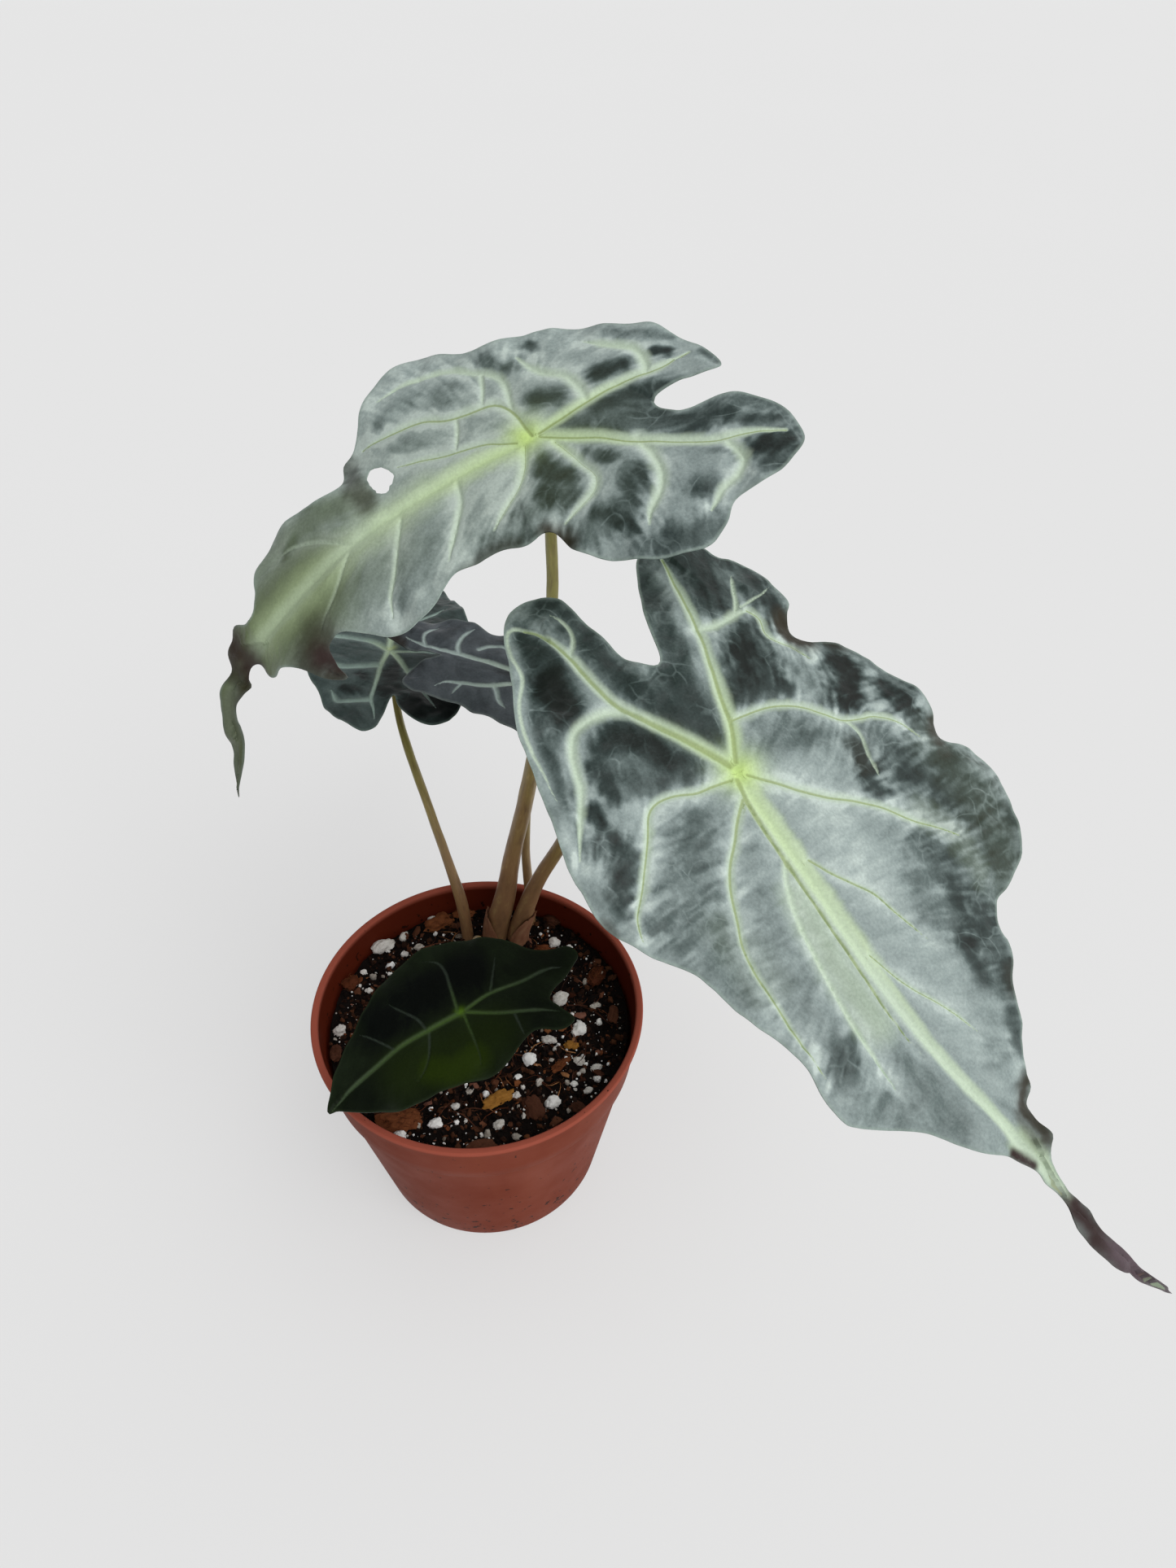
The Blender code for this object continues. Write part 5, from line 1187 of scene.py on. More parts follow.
def pot_finish(settings):
    """Polypropylene, injection moulded: satin and specked with dried mix, with a painted sheen
    along the top of the lip and painted shade over the inner face.
    """
    made, tree, shader = new_finish("polypropylene_moulded", Specular_IOR_Level=0.04)
    place = node(tree, "TexCoord").outputs["Object"]
    height = node(tree, "SeparateXYZ", {0: place}).outputs["Z"]
    within = node(tree, "Attribute", attribute_name="within").outputs["Fac"]
    cloud = node(tree, "TexNoise", {"Vector": place, "Scale": 38.0, "Detail": 5.0,
                                    "Roughness": 0.6})
    dust = node(tree, "TexNoise", {"Vector": place, "Scale": 900.0, "Detail": 3.0})
    specks = node(tree, "TexNoise", {"Vector": place, "Scale": 330.0, "Detail": 2.0,
                                     "Roughness": 0.7})
    flow = node(tree, "Mapping", {"Vector": place, "Scale": (60, 60, 5)})
    streaks = node(tree, "TexNoise", {"Vector": flow, "Scale": 1.0, "Detail": 3.0})
    # dried mix clings to the lower wall outside, and inside just over the mix
    share = {key: node(tree, "MapRange", {0: value, 1: near, 2: far, 3: least, 4: most})
             for key, value, near, far, least, most in (
                 ("low", height, 0.055, 0.01, 0.7, 0.615),
                 ("over", height, 0.069, 0.076, 0.6, 0.72),
                 ("cloud", cloud, 0.35, 0.7, 0.0, 0.5), ("streak", streaks, 0.5, 0.75, 0.0, 0.3),
                 ("lip", height, 0.0779, 0.0792, 0.0, 0.9), ("gloss", cloud, 0.3, 0.7, 0.42, 0.6))}
    bare = node(tree, "Math", {0: share["low"], 1: share["over"]}, operation="MINIMUM")
    bare = node(tree, "Mix", {0: within, 2: share["low"], 3: bare})
    dirt = node(tree, "Math", {0: specks, 1: bare}, operation="SUBTRACT")
    dirt = node(tree, "MapRange", {0: dirt, 1: 0.0, 2: 0.03, 3: 0.0, 4: 0.9})
    ground = layered(tree, linear(settings.body_colour), (
        # painted shade: the inside colour darkens the pot's inner face
        (share["cloud"], "#652814"), (share["streak"], "#88462F"), (within, settings.inside_shade_colour),
        # painted sheen: the lip colour lightens the band along the top of the lip
        (share["lip"], settings.lip_sheen_colour), (dirt, settings.dirt_colour)))
    grain = node(tree, "Bump", {"Strength": 0.12, "Distance": 0.0001, "Height": dust})
    feed(tree, shader, {"Base Color": ground, "Roughness": share["gloss"], "Normal": grain})
    return made


def grain_finish(name, ramp, scale, roughness, bump):
    """A loose mineral or fibre of the mix, unsorted: each grain its own tone, rough all over."""
    made, tree, shader = new_finish(name, Roughness=roughness, Specular_IOR_Level=0.15)
    place = node(tree, "TexCoord").outputs["Object"]
    own = node(tree, "Attribute", attribute_name="shade").outputs["Fac"]
    pits = node(tree, "TexNoise", {"Vector": place, "Scale": scale, "Detail": 4.0,
                                   "Roughness": 0.7})
    tone = node(tree, "Math", {0: pits, 1: 0.45, 2: own}, operation="MULTIPLY_ADD")
    tone = node(tree, "Math", {0: tone, 1: 0.22}, operation="SUBTRACT")
    tone = node(tree, "ValToRGB", {0: tone}, ramp=ramp)
    relief = node(tree, "Bump", {"Strength": bump, "Distance": 0.0004, "Height": pits})
    feed(tree, shader, {"Base Color": tone, "Normal": relief})
    return made


# Geometry Nodes

def new_tree(name, inputs):
    """An empty Geometry Nodes tree with a geometry output and the named inputs."""
    tree = bpy.data.node_groups.new(name, "GeometryNodeTree")
    tree.interface.new_socket("Geometry", in_out="OUTPUT", socket_type="NodeSocketGeometry")
    for label, kind, default in inputs:
        socket = tree.interface.new_socket(label, in_out="INPUT", socket_type="NodeSocket" + kind)
        if default is not None:
            socket.default_value = default
    return tree, tree.nodes.new("NodeGroupInput").outputs


def stalk_tree():
    """Sweeps a round section along a line, as thick as the line says, and marks its skin."""
    tree, given = new_tree("stalk_sweep", (
        ("Line", "Geometry", None), ("Ring gap", "Float", 0.001), ("Sides", "Int", 28),
        ("Length", "Float", 0.1), ("Skin", "Material", None)))
    curve = node(tree, "GeometryNodeMeshToCurve", {0: given["Line"]})
    even = node(tree, "GeometryNodeResampleCurve", {0: curve, "Length": given["Ring gap"]},
                mode="LENGTH")
    along = node(tree, "GeometryNodeSplineParameter")
    marked = node(tree, "GeometryNodeStoreNamedAttribute",
                  {0: even, "Name": "far", "Value": along.outputs["Length"]})
    ring = node(tree, "GeometryNodeCurvePrimitiveCircle",
                {"Resolution": given["Sides"], "Radius": 1.0})
    ring = node(tree, "GeometryNodeStoreNamedAttribute",
                {0: ring, "Name": "turn", "Value": along.outputs["Factor"]})
    thick, far, turn = (node(tree, "GeometryNodeInputNamedAttribute", {"Name": name},
                             data_type="FLOAT") for name in ("thick", "far", "turn"))
    tube = node(tree, "GeometryNodeCurveToMesh",
                {0: marked, 1: ring, "Scale": thick, "Fill Caps": True})
    # skin: round the stalk in millimetres, and along it a quarter as fast, so flecks run lengthwise
    angle = node(tree, "Math", {0: turn, 1: 2 * math.pi}, operation="MULTIPLY")
    side = [node(tree, "Math", {0: angle}, operation=wave) for wave in ("COSINE", "SINE")]
    reach = node(tree, "Math", {0: far, 1: 260.0}, operation="MULTIPLY")
    skin = node(tree, "CombineXYZ", {0: side[0], 1: side[1], 2: reach})
    skin = node(tree, "VectorMath", {0: skin, 1: (3.0, 3.0, 1.0)}, operation="MULTIPLY")
    coated = node(tree, "GeometryNodeStoreNamedAttribute", {0: tube, "Name": "skin", 3: skin},
                  data_type="FLOAT_VECTOR")
    share = node(tree, "Math", {0: far, 1: given["Length"]}, operation="DIVIDE")
    risen = node(tree, "GeometryNodeStoreNamedAttribute",
                 {0: coated, "Name": "rise", "Value": share})
    lumps = node(tree, "TexNoise", {"Vector": skin, "Scale": 0.25})
    swell = node(tree, "MapRange", {0: lumps, 1: 0.3, 2: 0.7, 3: -0.00012, 4: 0.00012})
    outward = node(tree, "GeometryNodeInputNormal")
    shift = node(tree, "VectorMath", {0: outward, "Scale": swell}, operation="SCALE")
    uneven = node(tree, "GeometryNodeSetPosition", {0: risen, "Offset": shift})
    plain = node(tree, "GeometryNodeRealizeInstances", {0: uneven})
    coloured = node(tree, "GeometryNodeSetMaterial", {0: plain, "Material": given["Skin"]})
    node(tree, "NodeGroupOutput", {0: coloured})
    return tree


def scatter_tree():
    """Strews copies of one grain over a surface, each with its own place, turn, size and tone."""
    tree, given = new_tree("mix_scatter", (
        ("Surface", "Geometry", None), ("Grain", "Object", None), ("Density", "Float", 1000.0),
        ("Smallest", "Float", 0.5), ("Largest", "Float", 1.5), ("Tilt", "Float", 3.0),
        ("Sink", "Float", 0.0), ("Seed", "Int", 1), ("Finish", "Material", None)))
    seed, tilt = given["Seed"], given["Tilt"]
    room = node(tree, "GeometryNodeInputNamedAttribute", {"Name": "room"}, data_type="FLOAT")
    dense = node(tree, "Math", {0: given["Density"], 1: room}, operation="MULTIPLY")
    strewn = node(tree, "GeometryNodeDistributePointsOnFaces",
                  {0: given["Surface"], "Density": dense, "Seed": seed})
    lean = node(tree, "Math", {0: tilt, 1: -1.0}, operation="MULTIPLY")
    least = node(tree, "CombineXYZ", {0: lean, 1: lean, 2: -3.14})
    most = node(tree, "CombineXYZ", {0: tilt, 1: tilt, 2: 3.14})
    turn = node(tree, "FunctionNodeRandomValue", {0: least, 1: most, "Seed": seed},
                data_type="FLOAT_VECTOR")
    size = node(tree, "FunctionNodeRandomValue", {2: 0.0, 3: 1.0, "Seed": seed}, data_type="FLOAT")
    # most grains are small: the draw is cubed before it picks a size
    skewed = node(tree, "Math", {0: size.outputs[1], 1: 3.0}, operation="POWER")
    sized = node(tree, "MapRange",
                 {0: skewed, 1: 0.0, 2: 1.0, 3: given["Smallest"], 4: given["Largest"]})
    grain = node(tree, "GeometryNodeObjectInfo", {"Object": given["Grain"]})
    copies = node(tree, "GeometryNodeInstanceOnPoints",
                  {0: strewn, "Instance": grain.outputs["Geometry"], "Rotation": turn,
                   "Scale": sized})
    later = node(tree, "Math", {0: seed, 1: 7.0}, operation="ADD")
    tone = node(tree, "FunctionNodeRandomValue", {2: 0.0, 3: 1.0, "Seed": later},
                data_type="FLOAT")
    toned = node(tree, "GeometryNodeStoreNamedAttribute",
                 {0: copies, "Name": "shade", "Value": tone.outputs[1]}, domain="INSTANCE")
    depth = node(tree, "CombineXYZ", {2: given["Sink"]})
    sunk = node(tree, "GeometryNodeTranslateInstances",
                {0: toned, "Translation": depth, "Local Space": False})
    plain = node(tree, "GeometryNodeRealizeInstances", {0: sunk})
    coloured = node(tree, "GeometryNodeSetMaterial", {0: plain, "Material": given["Finish"]})
    node(tree, "NodeGroupOutput", {0: coloured})
    return tree


# Pieces

def lump(detail, rough, stretch, seed):
    """One rough grain about the origin, in millimetres: a ball pushed in and out by noise."""
    shape = bmesh.new()
    bmesh.ops.create_icosphere(shape, subdivisions=detail, radius=1.0)
    shift = Vector((seed * 3.7, seed * 1.3, seed * 2.1))
    points = []
    for corner in shape.verts:
        reach = 1 + rough * noise.noise(corner.co * 1.1 + shift)
        reach += rough * 0.6 * noise.noise(corner.co * 2.7 + shift)
        if detail > 3:
            reach += rough * 0.3 * noise.noise(corner.co * 7 + shift)
        points.append([corner.co[axis] * reach * stretch[axis] for axis in range(3)])
    faces = [[v.index for v in f.verts] for f in shape.faces]
    shape.free()
    return np.array(points), faces


def placed(points, centre, turn, tilt=0.0):
    """Points tilted and turned about their own centre, then carried to a place."""
    across = points[:, 0] * math.cos(tilt) - points[:, 2] * math.sin(tilt)
    rise = points[:, 0] * math.sin(tilt) + points[:, 2] * math.cos(tilt)
    x = across * math.cos(turn) - points[:, 1] * math.sin(turn)
    y = across * math.sin(turn) + points[:, 1] * math.cos(turn)
    return np.stack([x, y, rise], -1) + np.array(centre)


def twig(bend, seed):
    """One fibre of the mix: a thin three-sided rod with a bend in it."""
    draw = random.Random(seed)
    points, faces = [], []
    steps = 6
    for k in range(steps):
        t = k / (steps - 1) * 2 - 1
        centre = (t * 5.0, bend * (1 - t * t) * 2.0 + draw.uniform(-0.3, 0.3), draw.uniform(0, 0.5))
        radius = 0.2 * (1.15 - abs(t))
        for side in range(3):
            turn = 2 * math.pi * side / 3
            points.append((centre[0], centre[1] + radius * math.cos(turn),
                           centre[2] + radius * math.sin(turn)))
    for k in range(steps - 1):
        for side in range(3):
            a, b = k * 3 + side, k * 3 + (side + 1) % 3
            faces.append((a, a + 3, b + 3, b))
    faces += [(0, 1, 2), tuple((steps - 1) * 3 + k for k in (2, 1, 0))]
    return np.array(points), faces


def pot_profile(settings):
    """The pot's wall as (radius, height): up the outside, over the lip and down the inside."""
    lip, top, base, wall = (value / MM for value in (settings.rim_radius, settings.height,
                                                     settings.base_radius, settings.wall))
    band, collar = top - BAND_HEIGHT, lip - LIP_OVERHANG
    under_band = collar - BAND_STEP - BAND_DRAFT
    band_foot = under_band + BAND_STEP
    outer = [(base - 1.2, 0), (base - 0.8, 0.1), (base - 0.25, 0.5), (base, 1.2)]
    outer += [(base + (under_band - base) * t, 1.2 + (band - 1.2) * t)
              for t in (0.2, 0.4, 0.6, 0.8, 0.97, 1.0)]
    outer += [(under_band + 0.3, band + 0.1), (band_foot - 0.25, band + 0.5),
              (band_foot, band + 1.0)]
    outer += [(band_foot + (collar - band_foot) * t, band + 1.0 + (top - 2.5 - band - 1.0) * t)
              for t in (0.25, 0.5, 0.75, 0.98)]
    outer += [(lip - 0.9, top - 2.25), (lip - 0.3, top - 1.95), (lip, top - 1.6), (lip, top - 0.7),
              (lip - 0.12, top - 0.3), (lip - 0.4, top - 0.05), (lip - 0.8, top)]
    bore = collar - wall
    inner = [(base - wall, 2.0), (under_band - wall, band), (band_foot - wall, band + 1.6),
             (bore, top - 1.4), (bore + 0.12, top - 0.45), (bore + 0.5, top - 0.08),
             (bore + 0.9, top)]
    return outer + inner[::-1]


def turned(name, profile, finish, sides, centre_bottom, centre_top):
    """A closed solid turned about Z from places (radius, height), with a point at each pole."""
    angles = 2 * math.pi * np.arange(sides) / sides
    rings = [np.stack([r * np.cos(angles), r * np.sin(angles), angles * 0 + z], -1)
             for r, z in profile]
    points = np.vstack([[(0, 0, centre_bottom)], *rings, [(0, 0, centre_top)]])
    last, faces = len(points) - 1, []
    top = 1 + (len(profile) - 1) * sides
    for k in range(sides):
        after = (k + 1) % sides
        faces.append((0, 1 + after, 1 + k))
        faces.append((top + k, top + after, last))
        for ring in range(len(profile) - 1):
            a, b = 1 + ring * sides + k, 1 + ring * sides + after
            faces.append((a, b, b + sides, a + sides))
    return add_object(name, points, faces, [finish], sharp_angle=32)


def mix_height(x, y, relief):
    """The height of the mix: lumpy, and a little higher round the crown of the plant."""
    place = Vector((x / 9, y / 9, 3.0))
    lumps = noise.fractal(place, 1.0, 2.0, 3)
    crown = math.exp(-(math.dist((x, y), CROWN) / CROWN_SPREAD) ** 2)
    crumbs = noise.noise(Vector((x / 1.9, y / 1.9, 9.0))) * 0.55
    crumbs += noise.noise(Vector((x / 0.9, y / 0.9, 5.0))) * 0.3
    return SOIL_TOP + relief * lumps + CROWN_RISE * crown - 0.8 + crumbs


def mix_body(settings, finish):
    """The mix that fills the pot a hair clear of its wall, under a finely lumpy top."""
    relief, spacing = settings.relief / MM, 1.1
    wall = ((37.7, 2.3), (41.0, 24.0), (44.6, 46.0), (47.2, 60.5), (48.6, 62.5), (49.1, 69.0))
    rim = [(49.3 * math.cos(t), 49.3 * math.sin(t)) for t in np.linspace(0, 2 * math.pi, 49)[:-1]]
    rim = even_points(smooth_curve(rim, 6, closed=True), spacing, closed=True)
    flat, faces = fill_net(rim, np.zeros((0, 2)), spacing, 4)
    tops = np.array([mix_height(x, y, relief) for x, y in flat])
    points = [np.column_stack([flat, tops])]
    onward = dict(rim_sides(faces))
    loop = [next(iter(onward))]
    while onward[loop[-1]] != loop[0]:
        loop.append(onward[loop[-1]])
    solid, above, count, round_it = faces.tolist(), loop, len(flat), len(loop)
    angles = np.arctan2(flat[loop, 1], flat[loop, 0])
    for radius, height in wall[::-1]:
        points.append(np.stack([radius * np.cos(angles), radius * np.sin(angles),
                                angles * 0 + height], -1))
        below = [count + k for k in range(round_it)]
        for k in range(round_it):
            after = (k + 1) % round_it
            solid.append((above[after], above[k], below[k], below[after]))
        above, count = below, count + round_it
    points.append([(0, 0, wall[0][1])])
    solid += [(above[(k + 1) % round_it], above[k], count) for k in range(round_it)]
    return add_object("mix_body", np.vstack(points), solid, [finish], sharp_angle=70)


def scale_piece(name, scale, finish):
    """A papery scale that clasps a stalk: curved, ribbed lengthwise and torn along its top."""
    path, _ = stalk_path(STALKS[scale["stalk"]], 4)
    draw = np.random.RandomState(scale["seed"])
    columns, rows = 34, 26
    torn = np.pad(draw.uniform(-1, 1, columns + 1), 1, mode="edge")
    torn = np.convolve(torn, (0.25, 0.5, 0.25), "valid")
    first, last = scale["arc"]
    outer, inner, skins = [], [], []
    for row in range(rows):
        share = row / (rows - 1)
        for column in range(columns + 1):
            across = column / columns
            off_middle = 2 * across - 1
            top = SOIL_TOP + scale["height"] * (1 - 0.10 * (1 + torn[column]) * share)
            z = SOIL_TOP - scale["depth"] + share * (top - SOIL_TOP + scale["depth"])
            rise = max(0.0, (z - SOIL_TOP) / scale["height"])
            half = (last - first) / 2 * (1 - scale["taper"] * rise ** 1.6)
            turn = math.radians((first + last) / 2 + scale["swing"] * rise + half * off_middle)
            middle = [np.interp(z, path[:, 2], path[:, axis]) for axis in (0, 1)]
            near = scale["inside"] + scale["flare"] * rise + 0.5 * rise * abs(off_middle) ** 4
            ribbed = 0.025 * math.sin(across * 40 + 3 * rise)
            ribbed += 0.12 * noise.noise(Vector((across * 5, z / 5, scale["seed"])))
            thick = scale["thick"] * (1 - 0.6 * abs(off_middle) ** 6) * (1 - 0.55 * share ** 4)
            for radius, side in ((near + thick + ribbed, outer), (near + ribbed, inner)):
                side.append((middle[0] + radius * math.cos(turn),
                             middle[1] + radius * math.sin(turn), z))
            skins.append((across * 9, 0.0, z * 0.2))
    width, total = columns + 1, rows * (columns + 1)
    faces = []
    for row in range(rows - 1):
        for column in range(columns):
            a = row * width + column
            faces.append((a, a + 1, a + 1 + width, a + width))
            faces.append((a + total, a + width + total, a + 1 + width + total, a + 1 + total))
        for a, flip in ((row * width, True), (row * width + columns, False)):
            side = (a, a + width, a + width + total, a + total)
            faces.append(side[::-1] if flip else side)
    for row, flip in ((0, False), (rows - 1, True)):
        for a in range(row * width, row * width + columns):
            end = (a, a + total, a + 1 + total, a + 1)
            faces.append(end[::-1] if flip else end)
    piece = add_object(name + "_skin", outer + inner, faces, [finish], sharp_angle=60)
    mend_normals(piece)
    mark(piece.data, "skin", skins + skins)
    return piece


def mend_normals(piece):
    """Turns every face of a closed piece outward."""
    shape = bmesh.new()
    shape.from_mesh(piece.data)
    bmesh.ops.recalc_face_normals(shape, faces=shape.faces[:])
    shape.to_mesh(piece.data)
    shape.free()


def stalk_path(stalk, per_span):
    """A stalk's centre line, from its foot in the mix into the rib of its blade, and its radii."""
    at, place, _, _, normal = spine_frames(LEAVES[stalk["leaf"]])
    here = int(np.argmin(np.abs(at)))
    top = place[here] - normal[here] * STALK_SINK
    route = np.array(stalk["route"], float)
    last_radius = route[-1, 3]
    neck = np.append(top - normal[here] * stalk["neck"], last_radius)
    foot = route[0] - (0, 0, STEM_DEPTH, 0)
    route = np.vstack([foot, route, neck, np.append(top, last_radius * STALK_FLARE)])
    route = smooth_curve(route, per_span)
    return route[:, :3], route[:, 3]


class ALOCASIA_OT_stage(bpy.types.Operator):
    """Sets the camera, the pale floor and the soft light"""
    bl_idname = "alocasia.stage"
    bl_label = "Stage"

    def execute(self, context):
        scene = context.scene
        settings = scene.alocasia_stage
        lens = bpy.data.cameras.new("photo_camera")
        lens.lens, lens.sensor_width, lens.clip_end = 27.05, 36.0, 60.0
        camera = add_to_scene("photo_camera", lens)
        camera.location = (0.0360, -0.2315, 0.3958)
        camera.rotation_euler = (math.radians(46.8), 0, 0)
        scene.camera = camera
        # Painted board lit from behind as well, so that shadows on it stay faint
        made, tree, shader = new_finish("studio_floor_painted", Roughness=0.9,
                                        Specular_IOR_Level=0.1,
                                        Emission_Strength=settings.floor_glow)
        place = node(tree, "TexCoord").outputs["Object"]
        wear = node(tree, "TexNoise", {"Vector": place, "Scale": 3.0, "Detail": 2.0})
        spread = node(tree, "MapRange", {0: wear, 1: 0.3, 2: 0.7, 3: 0.0, 4: 0.02})
        ground = layered(tree, linear(settings.floor_colour), ((spread, "#BBBBBB"),))
        feed(tree, shader, {"Base Color": ground, "Emission Color": linear("#FFFFFF")})
        mesh = bpy.data.meshes.new("studio_floor")
        mesh.from_pydata([(x * FLOOR_REACH, y * FLOOR_REACH, 0) for x, y in
                          ((-1, -1), (1, -1), (1, 1), (-1, 1))], [], [(0, 1, 2, 3)])
        mesh.materials.append(made)
        floor = add_to_scene("studio_floor", mesh)
        floor.location = (0, 0, -0.0004)
        scene.world = bpy.data.worlds.new("studio_air")
        scene.world.use_nodes = True
        tree = scene.world.node_tree
        # one side of the room is brighter
        around = node(tree, "TexCoord").outputs["Generated"]
        across = node(tree, "SeparateXYZ", {0: around})
        shade = node(tree, "MapRange", {0: across, 1: -1.0, 2: 1.0, 3: 0.2, 4: 1.8})
        feed(tree, tree.nodes["Background"], {"Color": shade, "Strength": settings.fill_strength})
        key = bpy.data.lights.new("key_light", "SUN")
        key.energy, key.angle = settings.key_strength, math.radians(50)
        add_to_scene("key_light", key).rotation_euler = (math.radians(26), math.radians(30), 0)
        scene.view_settings.view_transform = "Standard"
        scene.view_settings.look = "None"
        return {"FINISHED"}


class ALOCASIA_OT_pot(bpy.types.Operator):
    """Makes the moulded plastic pot"""
    bl_idname = "alocasia.pot"
    bl_label = "Pot"

    def execute(self, context):
        settings = context.scene.alocasia_pot
        finish, profile = pot_finish(settings), pot_profile(settings)
        made = turned("pot_shell", profile, finish, settings.sides, 0, 2.0)
        drills = bpy.data.collections.new("drain_drills")
        context.scene.collection.children.link(drills)
        for k in range(DRAINS):
            turn = 2 * math.pi * (k + 0.5) / DRAINS
            drill = turned("drill", [(DRAIN_RADIUS, -1), (DRAIN_RADIUS, 3)], finish, 24, -1, 3)
            shift = np.array([math.cos(turn), math.sin(turn), 0]) * DRAIN_CIRCLE * MM
            for corner in drill.data.vertices:
                corner.co += Vector(shift)
            context.scene.collection.objects.unlink(drill)
            drills.objects.link(drill)
        bored = made.modifiers.new("bored", "BOOLEAN")
        bored.operation, bored.operand_type, bored.solver = "DIFFERENCE", "COLLECTION", "EXACT"
        bored.collection = drills
        graph = context.evaluated_depsgraph_get()
        made.data = bpy.data.meshes.new_from_object(made.evaluated_get(graph))
        made.modifiers.clear()
        for drill in list(drills.objects):
            bpy.data.objects.remove(drill)
        bpy.data.collections.remove(drills)
        made.data.shade_smooth()
        made.data.set_sharp_from_angle(angle=math.radians(32))
        # within: the points on the inner face, which lie well inside the outer wall's radius
        places = places_of(made.data)
        wall = np.array([spot for spot in profile if spot[1] < settings.height / MM - 0.3])
        outside = wall[:-5]
        girth = np.interp(places[:, 2], outside[:, 1], outside[:, 0])
        within = np.hypot(places[:, 0], places[:, 1]) < girth - 0.6 * settings.wall / MM
        mark(made.data, "within", within & (places[:, 2] > 1))
        settle(made, "pot_plastic", "pot")
        return {"FINISHED"}


class ALOCASIA_OT_mix(bpy.types.Operator):
    """Fills the pot with crumbs, perlite, bark and fibres"""
    bl_idname = "alocasia.mix"
    bl_label = "Potting mix"

    def execute(self, context):
        settings = context.scene.alocasia_mix
        finish = {kind: grain_finish(*looks) for kind, *looks in (
            # Damp sphagnum peat, sieved: nearly black, rough enough to show no gloss
            ("peat", "peat_sieved", ((0.0, "#060302"), (0.45, settings.peat_colour),
                                     (0.75, "#28160D"), (1.0, "#563320")), 600.0, 0.9, 0.8),
            # Perlite, expanded by heat: chalky white with tiny dark pits and stains of peat
            ("perlite", "perlite_expanded", ((0.0, "#6A5F54"), (0.28, "#B5ADA3"),
             (0.58, settings.perlite_colour), (1.0, "#FFFFFF")), 900.0, 0.85, 1.0),
            # Pine bark, chipped: reddish brown with dark cracks
            ("bark", "bark_chipped", ((0.0, "#180C08"), (0.4, settings.bark_colour),
                                      (0.8, "#68402C"), (1.0, "#85594A")), 500.0, 0.85, 1.0),
            # Coconut husk, chopped: orange brown and fibrous
            ("coir", "coir_chopped", ((0.0, "#2A1209"), (0.35, "#5C2E18"), (0.7, "#84502E"),
                                      (1.0, "#AC7A50")), 700.0, 0.85, 1.0),
            # Softwood, splintered: pale yellow brown
            ("wood", "softwood_splintered", ((0.0, "#5E3A14"), (0.5, "#9A6A2C"),
                                             (1.0, "#BE9450")), 600.0, 0.75, 0.9))}
        body = mix_body(settings, finish["peat"])
        places = places_of(body.data)
        mark(body.data, "shade", np.full(len(places), 0.25))
        pieces = self.strewn(settings, body, places, finish)
        draw = random.Random(settings.seed)
        for name, lumps in self.large_lumps(settings.relief / MM, draw).items():
            used = sorted({kind for _, _, kind in lumps})
            points, faces, finish_of, shades = [], [], [], []
            for corners, sides, kind in lumps:
                first = len(points)
                points.extend(corners.tolist())
                faces.extend([first + k for k in side] for side in sides)
                finish_of.extend([used.index(kind)] * len(sides))
                shades.extend([draw.uniform(0.2, 0.75)] * len(corners))
            pieces.append(add_object(name, points, faces, [finish[kind] for kind in used],
                                     finish_of, 60))
            mark(pieces[-1].data, "shade", shades)
        settle(body, "potting_mix", "potting_mix")
        for piece in pieces:
            settle(piece, "potting_mix")
        return {"FINISHED"}

    @staticmethod
    def strewn(settings, body, places, finish):
        """The fine grains, strewn over the top of the mix: one piece for each kind."""
        tree, made = scatter_tree(), []
        radius = np.hypot(places[:, 0], places[:, 1])
        crumb, small = settings.crumb / MM, settings.perlite / MM
        # name, grain, finish, count to a square metre, smallest and largest size, tilt, height in
        # metres over the surface, seed step, and how far in millimetres it stays off the wall
        for name, (points, faces), kind, density, least, most, tilt, sink, step, clear in (
                ("mix_crumbs", lump(1, 0.9, (crumb, crumb * 0.8, crumb * 0.7), 1), "peat",
                 780000, 0.3, 2.0, 3.1, -0.0001, 0, 0),
                ("mix_flakes", lump(1, 0.8, (1.9, 1.0, 0.42), 2), "bark",
                 26000, 0.4, 1.7, 0.7, 0.0002, 1, 2),
                ("mix_husks", lump(1, 0.8, (1.7, 0.9, 0.45), 5), "coir",
                 15000, 0.4, 1.5, 0.7, 0.0003, 2, 2),
                ("mix_perlite", lump(2, 0.45, (small, small * 0.85, small * 0.72), 3), "perlite",
                 34000, 0.5, 2.1, 3.1, 0.0004, 3, 1),
                ("mix_perlite_dust", lump(1, 0.2, (small * 0.4,) * 3, 4), "perlite",
                 90000, 0.4, 1.5, 3.1, 0.0004, 6, 0),
                ("mix_fibres", twig(0.9, 6), "coir", 26000, 0.3, 1.3, 0.28, 0.0006, 4, 7),
                ("mix_twigs", twig(-0.5, 7), "bark", 36000, 0.4, 1.8, 0.3, 0.0005, 5, 9)):
            mark(body.data, "room", ease((MIX_REACH - clear - radius) / 0.6)
                 * (places[:, 2] > MIX_FACE))
            grain = add_object(name + "_grain", points, faces, [finish[kind]])
            mesh = through_nodes(body, tree, {
                "Grain": grain, "Density": float(density), "Smallest": least, "Largest": most,
                "Tilt": tilt, "Sink": sink, "Seed": settings.seed + 11 * step,
                "Finish": finish[kind]})
            bpy.data.objects.remove(grain)
            mesh.name = name
            if kind == "perlite":
                mesh.shade_smooth()
            else:
                mesh.shade_flat()
            made.append(add_to_scene(name, mesh))
        return made

